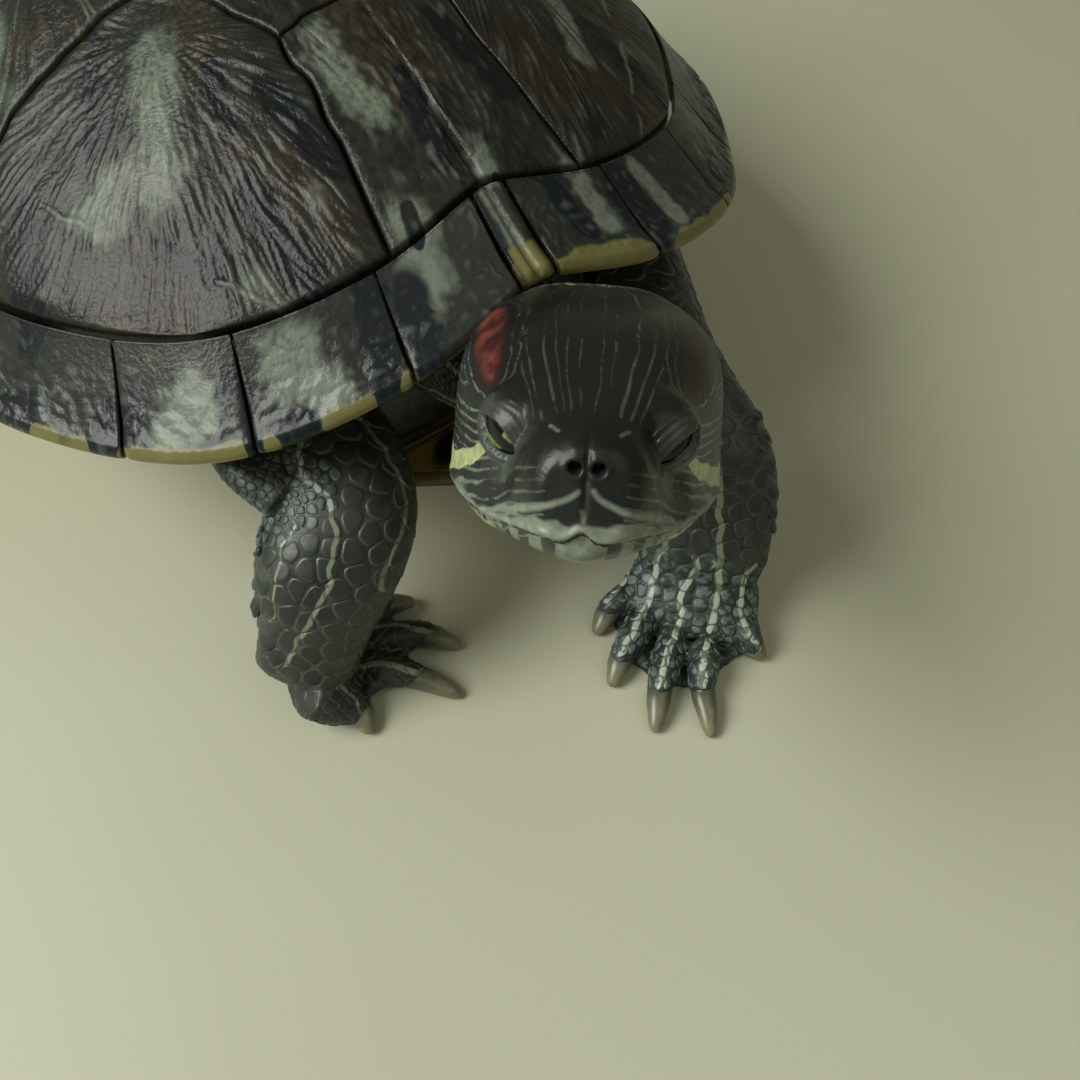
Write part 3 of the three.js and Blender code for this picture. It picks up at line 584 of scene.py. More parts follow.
# %% Marginals and nuchal
def build_marginal(name, row_a, row_b, side, along, around, seed, material):
    piece, u, v = add_grid(along, around)
    u = mix(u, 0.5 - 0.5 * np.cos(np.pi * u), 0.75)
    row = row_a + (row_b - row_a) * u
    start, end = rim(np.array([row_a, row_b], float))
    length = np.hypot(*(end - start)[:2])
    near = np.minimum(u, 1 - u) * length
    trim = 0.6 * GAP / length
    row = row_a + (row_b - row_a) * (trim + u * (1 - 2 * trim))
    edge_x, edge_y, edge_z = rim(row).T
    edge_x = edge_x * side

    def level(share):
        return edge_x * share, CENTRE_Y + (edge_y - CENTRE_Y) * share

    bridge = smooth(np.abs(row), 4.4, 5.2) * (1 - smooth(np.abs(row), 8.0, 8.8))
    # The section: the upper face, the lip, the lower face and the hidden inner edge.
    reach = 1 - INNER
    top_part = np.clip(v / 0.46, 0, 1)
    low_part = np.clip((v - 0.54) / 0.36, 0, 1)
    lip = np.clip((v - 0.46) / 0.08, 0, 1)
    share_top = INNER + GAP / 150 + (reach - GAP / 150 - 0.006) * top_part
    share = np.where(v < 0.5, share_top, 0.994 - (reach - 0.008) * low_part)
    share = share + 0.006 * np.sin(lip * np.pi)
    x, y = level(share)
    upper = dome(x, y)
    inner_lower = upper - 4.4
    outer_lower = dome(*level(1.0)) - 2.2
    free = mix(outer_lower, inner_lower, low_part)
    tucked = edge_z - 2.4 - 3.6 * low_part
    under = mix(free, tucked, bridge)
    high = dome(*level(0.994)) - 0.1
    z = np.where(v <= 0.46, upper, np.where(v < 0.54, mix(high, mix(outer_lower, edge_z - 2.4, bridge), lip), under))
    back = np.clip((v - 0.9) / 0.1, 0, 1)
    z = np.where(v > 0.9, mix(under, dome(*level(INNER + GAP / 150)), back), z)
    x0, y0 = level(INNER + GAP / 150)
    x = np.where(v > 0.9, mix(x, x0, back), x)
    y = np.where(v > 0.9, mix(y, y0, back), y)
    points = np.stack([x, y, z], -1)
    # Ridges and the rolled ends.
    arc = np.clip(v / 0.46, 0, 1) * reach * 75
    middle = np.stack([*level(0.95), (upper + under) / 2], -1)
    inward = middle - points
    inward /= np.maximum(np.linalg.norm(inward, axis=1), 1e-6)[:, None]
    lump = noise(u * length / 2.2, arc / 1.5, seed) * 0.5 + noise(u * length / 7, arc / 5, seed + 1) * 0.6
    grain = np.abs(noise(u * length / 1.7 + lump, arc / 1.2, seed + 2)) - 0.3
    ridge = grain * 1.2 + lump * 0.5
    on_top = smooth(v, 0.02, 0.1) * (1 - smooth(v, 0.4, 0.5)) * (0.08 if name == "nuchal" else 1)
    lift = (0.2 * grain + 0.28 * lump) * on_top * smooth(near, 0.2, 2.0)
    roll = 0.3 * np.exp(-(near / 0.3) ** 1.5) + 0.1 * np.exp(-(near / 1.6) ** 2)
    seam = np.minimum(v, 0.9) / 0.46 * reach * 75
    roll = np.where(v < 0.46, np.maximum(roll, 0.36 * np.exp(-(seam / 0.35) ** 1.5)), roll)
    points = points + inward * (roll - lift + 0.1)[:, None]
    # The ends close on their own middle line, so that no cap is needed.
    rings = points.reshape(around + 1, along + 1, 3)
    pinched = (rings + rings[::-1]) / 2
    rings[:, 0], rings[:, -1] = pinched[:, 0], pinched[:, -1]
    rings[-1] = rings[0]
    set_coords(piece, pose_shell(rings.reshape(-1, 3)) * MM)
    across_top = np.clip(v / 0.46, 0, 1)
    dark, pale, brown = carapace_tones(x, y)
    below = smooth(v, 0.5, 0.54) * (v < 0.93)
    add_attribute(piece, "dark", dark)
    add_attribute(piece, "pale", pale + 0.08)
    add_attribute(piece, "brown", brown)
    # The ridge value drives a painted highlight on the crests and painted shade in the valleys.
    add_attribute(piece, "ridge", ridge * (1 - below))
    add_attribute(piece, "edge", np.where(below > 0.5, near, np.minimum(near, np.where(v < 0.46, seam, 9))))
    add_attribute(piece, "below", below)
    broken = 0.05 * noise(x / 3.5, y / 3.5, 2) - 0.5 * smooth(dark, 0.2, 0.5)
    front_edge = 0.12 * smooth(x, 5, 8) * (1 - smooth(x, 18.5, 20.5)) + 0.30 * (np.abs(x) < 3.3) - 0.4 * smooth(-x, 3.4, 4.4) * (1 - smooth(-x, 17, 20))
    front_edge = front_edge * (y < -80)
    add_attribute(piece, "lip", (across_top + broken + front_edge) * (v < 0.93))
    bpy.ops.object.mode_set(mode="EDIT")
    bpy.ops.mesh.select_all(action="SELECT")
    bpy.ops.mesh.remove_doubles(threshold=0.00001)
    bpy.ops.mesh.normals_make_consistent(inside=False)
    bpy.ops.object.mode_set(mode="OBJECT")
    finish_piece(piece, name + "_horn", material, [name])
    return piece


def make_rim_horn():
    material, tree = new_material("marginal_horn_wet")
    small = object_noise(tree, 1400, 4)
    below = (attribute(tree, "below"), 2)
    lip = (attribute(tree, "lip"), 2)
    colour = blend_colours(tree, fade(tree, value(attribute(tree, "brown")), 0.0, 0.5), "282c28", "302d25")
    colour = blend_colours(tree, fade(tree, value(attribute(tree, "pale")), 0.05, 0.6), colour, "70776b")
    colour = blend_colours(tree, fade(tree, value(attribute(tree, "dark")), 0.15, 0.45), colour, "11181d")
    # Painted highlight on the ridge crests, then painted shade in the valleys between them.
    colour = blend_colours(tree, fade(tree, value(attribute(tree, "ridge")), 0.0, 0.9, 0, 0.25), colour, "7f857a")
    colour = blend_colours(tree, fade(tree, value(attribute(tree, "ridge")), -0.1, -0.7, 0, 0.5), colour, "14150f")
    colour = blend_colours(tree, fade(tree, lip, 0.93, 0.985, 0, 0.85), colour, "757042")
    yellow = blend_colours(tree, fade(tree, value(attribute(tree, "dark")), 0.15, 0.3), "9c8a44", "26241c")
    colour = blend_colours(tree, below, colour, yellow)
    colour = blend_colours(tree, fade(tree, value(attribute(tree, "edge")), 0.05, 0.5, 0.75, 0), colour, "0e0e0b")
    rough = fade(tree, object_noise(tree, 260, 4), 0.3, 0.7, 0.36, 0.56)
    finish_surface(tree, colour, rough, small, 0.6, 0.00014, 0.32, 0.12, 0.14)
    return material


RIM_HORN = make_rim_horn()
for number in range(1, 13):
    fine = (80, 100) if number < 7 else (60, 70)
    build_marginal(f"marginal_right_{number}", number, number + 1, -1, *fine, number, RIM_HORN)
    build_marginal(f"marginal_left_{number}", number, number + 1, 1, *fine, number + 3, RIM_HORN)
build_marginal("nuchal", -1, 1, 1, 50, 100, 2, RIM_HORN)
print("marginals: 24 and the nuchal")

# %% [markdown]
# The plastron is a flat floor of twelve plates in six pairs, yellow with a dark
# blotch in each half. It turns up at the sides to meet the bridge.

# %% Plastron
PLASTRON_OUTLINE = np.array([
    [-87.5, 12], [-80, 22], [-66, 31], [-52, 36], [-46, 42], [-39, 58], [-33, 63],
    [27, 65], [33, 60], [40, 43], [48, 37], [64, 34], [76, 27], [84, 14]])
PLATES = [("gular", -87.5, -74), ("humeral", -74, -54), ("pectoral", -54, -24),
          ("abdominal", -24, 12), ("femoral", 12, 50), ("anal", 50, 84)]


def make_plastron_horn():
    material, tree = new_material("plastron_horn")
    small = object_noise(tree, 500, 4)
    colour = blend_colours(tree, fade(tree, small, 0.3, 0.7), "b99f50", "a3873f")
    colour = blend_colours(tree, fade(tree, value(attribute(tree, "blotch")), 0.0, 0.16), colour, "26221a")
    colour = blend_colours(tree, fade(tree, value(attribute(tree, "edge")), 0.2, 0.9, 0.8, 0), colour, "2b2416")
    finish_surface(tree, colour, 0.42, small, 0.25, 0.0002, 0.15, 0.2)
    return material


PLATE_HORN = make_plastron_horn()


def build_plate(name, front, rear, seed):
    piece, u, v = add_grid(180, max(int((rear - front) / 0.8), 16))
    y = front + GAP / 2 + (rear - front - GAP) * v
    half = np.interp(y, *PLASTRON_OUTLINE.T)
    x = half * (2 * u - 1)
    lift = 20 * (np.maximum(np.abs(x) - 48, 0) / 17.5) ** 1.5
    edge = np.minimum(np.minimum(v, 1 - v) * (rear - front), half - np.abs(x))
    groove = 0.8 * np.exp(-(np.minimum(edge, np.abs(x)) / 0.7) ** 1.5)
    wavy = 0.15 * noise(x / 5, y / 5, seed) + 0.06 * np.abs(noise(x / 1.6, y / 9, seed + 1))
    set_coords(piece, pose_shell(np.stack([x, y, lift + groove + wavy + 0.15], -1)) * MM)
    centre = (front + rear) / 2
    spot = 1 - np.hypot((np.abs(x) - 0.5 * half) / (0.3 * half), (y - centre) / (0.36 * (rear - front)))
    add_attribute(piece, "blotch", spot * 0.5 + 0.35 * noise(x / 8, y / 8, seed + 2))
    add_attribute(piece, "edge", np.minimum(edge, np.abs(x)))
    bpy.ops.object.modifier_add(type="SOLIDIFY")
    piece.modifiers[0].thickness = 2.9 * MM
    piece.modifiers[0].offset = 1.0
    bpy.ops.object.modifier_apply(modifier=piece.modifiers[0].name)
    finish_piece(piece, f"plastron_{name}_horn", PLATE_HORN, [f"plastron_{name}"])


for seed, (name, front, rear) in enumerate(PLATES):
    build_plate(name, front, rear, seed)
print("plastron plates:", len(PLATES))

# %% [markdown]
# Flesh. Neck, head, legs, feet and tail are first laid out as smooth tubes with oval
# sections, each along a curved spine. Together with the trunk that fills the shell
# they are fused into one closed skin, so no seam shows where a leg leaves the body.

# %% Tubes
def tube(keys, rings, around, side=(1, 0, 0), power=2.2, taper=0.0, round_end=0.0, shrink=0.0):
    piece, u, v = add_grid(around, rings)
    keys = np.array(keys, float)
    at = through(keys, v * (len(keys) - 1))
    ahead = through(keys, np.minimum(v + 0.01, 1) * (len(keys) - 1))
    behind = through(keys, np.maximum(v - 0.01, 0) * (len(keys) - 1))
    way = ahead[:, :3] - behind[:, :3]
    way /= np.linalg.norm(way, axis=1)[:, None]
    side = np.array(side, float)
    wide = side - way * (way @ side)[:, None]
    wide /= np.linalg.norm(wide, axis=1)[:, None]
    tall = np.cross(way, wide)
    angle = u * 2 * np.pi
    if isinstance(power, tuple):
        power = mix(*power, smooth(v, 0.25, 0.75))
    high = np.sign(np.sin(angle)) * np.abs(np.sin(angle)) ** (2 / power)
    out = np.sign(np.cos(angle)) * np.abs(np.cos(angle)) ** (2 / power) * (1 - taper * high)
    if round_end:
        close = np.sqrt(np.maximum(1 - np.clip((v - 1 + round_end) / round_end, 0, 1) ** 2, 0.0004))
    else:
        close = 1
    points = (at[:, :3] + wide * (out * (at[:, 3] - shrink) * close)[:, None]
              + tall * (high * (at[:, 4] - shrink) * close)[:, None])
    set_coords(piece, (points + SHIFT) * MM)
    close_tube(piece)
    return piece


def close_tube(piece):
    bpy.ops.object.mode_set(mode="EDIT")
    bpy.ops.mesh.select_all(action="SELECT")
    bpy.ops.mesh.remove_doubles(threshold=0.00001)
    bpy.ops.mesh.fill_holes(sides=0)
    bpy.ops.mesh.normals_make_consistent(inside=False)
    bpy.ops.object.mode_set(mode="OBJECT")


def with_shell(points):
    c, s = math.cos(math.radians(8)), math.sin(math.radians(8))
    points = np.array(points, float)
    behind = points[:, 1] - NUCHAL[1]
    moved = points.copy()
    moved[:, 0] = NUCHAL[0] + points[:, 0] * c + behind * s
    moved[:, 1] = NUCHAL[1] - points[:, 0] * s + behind * c
    return moved


def flipped(points):
    points = np.array(points, float)
    points[:, 0] *= -1
    return points


def trunk_block():
    piece, u, v = add_grid(96, 60)
    row = u * 26
    share = np.where(v < 0.5, v, 1 - v) * 2 * 0.79
    at = seam_point(np.minimum(row, 13), 1.0)
    at = np.where((row <= 13)[:, None], at, seam_point(26 - np.maximum(row, 13), 1.0) * [-1, 1])
    x = at[:, 0] * share
    y = CENTRE_Y + (at[:, 1] - CENTRE_Y) * share
    slope = np.hypot((dome(x + 0.5, y) - dome(x - 0.5, y)), (dome(x, y + 0.5) - dome(x, y - 0.5)))
    top = dome(x, y) - 2.6 * np.minimum(np.hypot(1, slope), 2.2) - 1.8
    floor_z = 20 * (np.maximum(np.abs(x) - 48, 0) / 17.5) ** 1.5 + 3.2 + 1.8
    set_coords(piece, pose_shell(np.stack([x, y, np.where(v < 0.5, top, floor_z)], -1)) * MM)
    close_tube(piece)
    return piece


# %% Layout of the limbs
HEAD_AT = np.array([-11.6, -107.6, 64.5])
yaw, lift = math.radians(49), math.radians(27.3)
snout = np.array([-math.sin(yaw) * math.cos(lift), -math.cos(yaw) * math.cos(lift), math.sin(lift)])
leftward = np.array([0.662, -0.75, 0.015])
leftward -= snout * (leftward @ snout)
leftward /= np.linalg.norm(leftward)
HEAD_TURN = np.stack([leftward, -snout, np.cross(leftward, -snout)], -1)
EYE_AT = np.array([6.4, -28.6, 6.2])


def from_head(points):
    return np.asarray(points) @ HEAD_TURN.T + HEAD_AT + SHIFT


def to_head(points):
    return (points - HEAD_AT - SHIFT) @ HEAD_TURN


HEAD_KEYS = np.array([
    [0, 8, 1.0, 12.4, 11.0], [0, -2, 1.0, 14.7, 12.6], [0, -11, 1.3, 15.8, 13.2],
    [0, -19, 2.0, 14.6, 12.4], [0, -25, 2.4, 12.2, 11.2], [0, -31, 2.7, 10.0, 9.7],
    [0, -37, 3.0, 7.4, 7.6], [0, -40.2, 3.0, 5.4, 5.6], [0, -41.4, 3.1, 3.6, 3.8]])
NECK_KEYS = [
    [0, -58, 42, 17, 12], [-1, -74, 45.5, 15, 11.5], [-4, -88, 50.5, 12.5, 10.5],
    [-8.5, -99, 58, 11.5, 10.5], [-12.5, -106, 64, 11.0, 10.4]]
LIMBS = {
    "front_left": {
        "leg": [[27, -56, 38, 11, 10], [35, -70, 38, 10.5, 10], [31.8, -79.7, 36, 10, 9.5],
                [25.5, -90.8, 34, 9.8, 9], [22.2, -99.5, 31, 10.3, 8.5], [20.2, -107.3, 26.5, 11.3, 8],
                [18.7, -111.5, 21, 11.5, 7.2], [14.9, -115, 13.5, 11.5, 6.4], [12.8, -116.2, 8.5, 11.2, 5.4]],
        "side": (0.62, -0.78, 0),
        "palm": [[12.8, -116.2, 8.2, 11.2, 5.2], [8.5, -118.5, 4.2, 12.5, 4.7], [3, -121.5, 2.6, 12, 3.3]],
        "palm_side": (0.54, -0.84, 0),
        "toes": [[(3.5, -110.5), (-2.1, -109.3), (-6.8, -110.6)], [(3.1, -114.5), (-7.2, -117.2), (-12.2, -119.6)],
                 [(2, -120.8), (-6.9, -125.7), (-13.1, -130.5)], [(4.5, -125.9), (-1.7, -130.6), (-6.9, -137.6)],
                 [(12.5, -126), (10.7, -131.1), (11.1, -134)]],
        "toe": 3.1},
    "front_right": {
        "leg": [[-24, -55, 36, 10, 9], [-29, -65, 35, 11.5, 10], [-30.5, -73.5, 32.8, 12, 9.5],
                [-34.4, -79.3, 30, 12.3, 8.6], [-40.4, -82.4, 25, 11.6, 7.8], [-43.8, -83.6, 20, 10.3, 7.2],
                [-46.8, -84.6, 14, 8.9, 6.4], [-49.8, -84.8, 8.3, 8.3, 5.4]],
        "fold": [[-26, -50, 38, 9, 7], [-36, -58, 38.5, 7, 4.5], [-40.5, -66, 38, 5.5, 3.8], [-39, -74, 35.5, 5.5, 4]],
        "side": (0.68, -0.73, 0),
        "palm": [[-50.0, -84.8, 8.0, 9.0, 4.9], [-46.2, -86.8, 4.2, 9.6, 4.7], [-42.5, -88.3, 2.6, 9.2, 3.3]],
        "palm_side": (0.42, 0.9, 0),
        "toes": [[(-38, -82.5), (-30.8, -81.5), (-25.5, -83.6)], [(-39.5, -84.5), (-29.1, -90.6), (-25.6, -96.3)],
                 [(-42, -87.5), (-35.7, -95.4), (-31.9, -103.3)], [(-46.5, -88), (-46, -93.7), (-47.4, -98.2)],
                 [(-48.6, -86.4), (-50.6, -88.6), (-51.4, -91)]],
        "toe": 3.0},
    "hind_left": {
        "leg": with_shell([[30, 40, 24, 13, 10], [44, 46, 21, 13, 10.5], [56, 53, 18, 11.5, 9.5],
                           [64, 62, 14.5, 10, 8], [68.5, 69, 9, 8.6, 6]]),
        "side": (0.4, -0.9, 0),
        "palm": with_shell([[68.5, 69, 8.0, 8.4, 5.0], [73, 68, 4.1, 10.5, 4.6], [79, 66, 2.5, 11, 3.2]]),
        "palm_side": (0.2, 1, 0),
        "toes": [with_shell(toe) for toe in (
            [(76, 58), (81, 52), (84.5, 46.8)], [(79, 61.5), (87, 58), (92.5, 54.2)],
            [(80, 66), (89.5, 65.5), (96, 64)], [(79, 70.5), (87.5, 73.5), (94, 75)],
            [(76.5, 74), (82, 79), (86, 83)])],
        "toe": 3.0}}
UNTURNED = {
    "leg": [[30, 40, 24, 13, 10], [44, 46, 21, 13, 10.5], [56, 53, 18, 11.5, 9.5],
            [64, 62, 14.5, 10, 8], [68.5, 69, 9, 8.6, 6]],
    "palm": [[68.5, 69, 8.0, 8.4, 5.0], [73, 68, 4.1, 10.5, 4.6], [79, 66, 2.5, 11, 3.2]],
    "toes": [[(76, 58), (81, 52), (84.5, 46.8)], [(79, 61.5), (87, 58), (92.5, 54.2)],
             [(80, 66), (89.5, 65.5), (96, 64)], [(79, 70.5), (87.5, 73.5), (94, 75)],
             [(76.5, 74), (82, 79), (86, 83)]]}
LIMBS["hind_right"] = {
    "leg": with_shell(flipped(UNTURNED["leg"])), "side": (-0.4, -0.9, 0),
    "palm": with_shell(flipped(UNTURNED["palm"])), "palm_side": (-0.2, 1, 0),
    "toes": [with_shell(flipped(toe)) for toe in UNTURNED["toes"]], "toe": 3.0}

# %% Lay out the flesh and fuse it
def lay_toe(toe, radius):
    root, knuckle, tip = (np.array(p, float) for p in toe)
    middle = root + (knuckle - root) * 0.55
    end = knuckle + (tip - knuckle) * 0.12
    keys = [[*root, 2.6, radius, 2.6], [*middle, 3.3, radius, 2.9], [*knuckle, 2.5, radius * 0.9, 2.3],
            [*end, 2.1, radius * 0.72, 1.9]]
    return tube(keys, 24, 20, (0, 0, 1), 2.0, 0, 0.22, 0.15)


def lay_web(first, second):
    corners = [np.array(p, float) for p in (first[0], first[1], second[1], second[0])]
    corners[1] = corners[0] + (corners[1] - corners[0]) * 0.98
    corners[2] = corners[3] + (corners[2] - corners[3]) * 0.98
    piece, u, v = add_grid(16, 16)
    near = corners[0] + (corners[3] - corners[0]) * u[:, None]
    far = corners[1] + (corners[2] - corners[1]) * u[:, None]
    reach = v * (1 - 0.15 * np.sin(u * np.pi) * v)
    at = near + (far - near) * reach[:, None]
    set_coords(piece, (np.column_stack([at, np.full(len(at), 1.2)]) + SHIFT) * MM)
    bpy.ops.object.modifier_add(type="SOLIDIFY")
    piece.modifiers[0].thickness = 2.5 * MM
    piece.modifiers[0].offset = 1.0
    bpy.ops.object.modifier_apply(modifier=piece.modifiers[0].name)
    return piece


parts = [trunk_block(), tube(NECK_KEYS, 60, 60, shrink=0.5, power=2.0)]
for limb in LIMBS.values():
    parts.append(tube(limb["leg"], 80, 60, limb["side"], shrink=0.5, power=2.1))
    parts.append(tube(limb["palm"], 20, 40, limb["palm_side"], shrink=0.3, power=2.1, round_end=0.3))
    if "fold" in limb:
        parts.append(tube(limb["fold"], 30, 40, shrink=0.5))
    for toe in limb["toes"]:
        parts.append(lay_toe(toe, limb["toe"]))
    for first, second in zip(limb["toes"], limb["toes"][1:]):
        parts.append(lay_web(first, second))
TAIL = with_shell([[0, 66, 16, 8, 6], [1, 80, 13.5, 6.6, 5.4], [4, 92, 10.5, 4.4, 4.0],
                   [9, 102, 7.5, 2.8, 2.6], [15, 109, 5.5, 1.5, 1.4]])
parts.append(tube(TAIL, 60, 32, shrink=0.3, round_end=0.05))
head_keys = HEAD_KEYS.copy()
head_keys[:, :3] = from_head(HEAD_KEYS[:, :3]) - SHIFT
parts.append(tube(head_keys, 90, 80, tuple(leftward), (3.3, 2.2), 0.03, 0.09, 0.3))
bpy.ops.object.select_all(action="DESELECT")
for part in parts:
    part.select_set(True)
bpy.context.view_layer.objects.active = parts[0]
bpy.ops.object.join()
skin = bpy.context.object
skin.data.remesh_voxel_size = 0.5 * MM
skin.data.remesh_voxel_adaptivity = 0
bpy.ops.object.voxel_remesh()
print("fused skin:", len(skin.data.polygons), "faces")
# %% [markdown]
# Under the shell the skin never shows, so it is thinned out there to coarse faces.
# The legs keep fewer faces than the head, since scales will cover them.

# %% Thin the hidden skin
def to_shell(points):
    return (points - NUCHAL - SHIFT) @ SHELL_TURN + [0, RIM[0][1], RIM[0][2]]


def thin_out(piece, chosen, keep):
    group = piece.vertex_groups.new(name="thin")
    group.add(np.nonzero(chosen)[0].tolist(), 1.0, "REPLACE")
    bpy.ops.object.modifier_add(type="DECIMATE")
    step = piece.modifiers[-1]
    step.ratio = 1 - (1 - keep) * chosen.mean()
    step.vertex_group = group.name
    bpy.ops.object.modifier_apply(modifier=step.name)
    piece.vertex_groups.clear()


def smooth_all(piece, factor, times):
    bpy.ops.object.modifier_add(type="SMOOTH")
    piece.modifiers[-1].factor = factor
    piece.modifiers[-1].iterations = times
    bpy.ops.object.modifier_apply(modifier=piece.modifiers[-1].name)


smooth_all(skin, 0.5, 8)
points = coords(skin) / MM
shell_view = to_shell(points)
share = plan_place(shell_view[:, 0], shell_view[:, 1])[1]
thin_out(skin, (share < 0.77) & (to_head(points)[:, 1] > 6), 0.02)
points = coords(skin) / MM
thin_out(skin, points[:, 1] > 20, 0.14)
points = coords(skin) / MM
thin_out(skin, (to_head(points)[:, 1] > 6) & (points[:, 1] < 20), 0.38)
print("skin:", len(skin.data.polygons), "faces")

# %% [markdown]
# The head is worked finer than the rest: blunt snout with two round nostrils, a
# horny upper beak with a notch in front that hangs over the jaw, full jowls, and
# thick wrinkled lids around a slanted eye slit.

# %% Refine and sculpt the head
bpy.ops.object.mode_set(mode="EDIT")
bpy.ops.mesh.select_mode(type="FACE")
bpy.ops.mesh.select_all(action="DESELECT")
bpy.ops.object.mode_set(mode="OBJECT")
local = to_head(coords(skin) / MM)
front = (local[:, 1] < -22.2) & (np.abs(local[:, 0]) < 20) & (np.abs(local[:, 2] - 3) < 20)
corner_index = np.empty(len(skin.data.loops), dtype=int)
skin.data.loops.foreach_get("vertex_index", corner_index)
starts = np.empty(len(skin.data.polygons), dtype=int)
skin.data.polygons.foreach_get("loop_start", starts)
chosen = np.logical_and.reduceat(front[corner_index], starts)
skin.data.polygons.foreach_set("select", chosen)
bpy.ops.object.mode_set(mode="EDIT")
bpy.ops.mesh.subdivide(number_cuts=1, smoothness=0)
bpy.ops.mesh.select_all(action="SELECT")
bpy.ops.mesh.quads_convert_to_tris(quad_method="BEAUTY", ngon_method="BEAUTY")
bpy.ops.object.mode_set(mode="OBJECT")
print("skin with the finer head:", len(skin.data.polygons), "faces")

SLIT = {}
for side, half_wide in ((-1, 19), (1, 13)):
    front_corner = np.array([side * 0.03, -0.91, -0.40])
    rear_corner = np.array([side * 0.90, -0.33, 0.29])
    centre = front_corner + rear_corner
    centre /= np.linalg.norm(centre)
    along = rear_corner - front_corner
    along -= centre * (along @ centre)
    along /= np.linalg.norm(along)
    SLIT[side] = (centre, along, np.cross(centre, along), half_wide, 40)


def slit_place(local, side):
    centre, along, across, half_wide, half_long = SLIT[side]
    away = local - EYE_AT * [side, 1, 1]
    reach = np.linalg.norm(away, axis=1)
    way = away / np.maximum(reach, 1e-6)[:, None]
    a = np.degrees(np.arctan2(way @ along, way @ centre))
    b = np.degrees(np.arcsin(np.clip(way @ across, -1, 1)))
    cap = np.degrees(np.arccos(np.clip(way @ centre, -1, 1)))
    open_to = half_wide * np.maximum(1 - (a / half_long) ** 2, 0)
    gap = np.where(cap < 90, np.hypot(np.maximum(np.abs(a) - half_long, 0), np.abs(b) - open_to)
                   * np.sign(np.abs(b) - open_to + 0.001), 90)
    return way, reach, cap, gap, b


def mouth_height(x, y):
    back = np.interp(-y, [17, 22, 28, 34, 38, 41.5], [-4.6, -3.9, -3.2, -1.9, -0.8, 0.0])
    a = np.abs(x)
    front = 0.75 * np.exp(-(a / 1.0) ** 2) - 0.25 * np.exp(-((a - 2.2) / 1.2) ** 2)
    return back + front * smooth(-y, 37, 40)


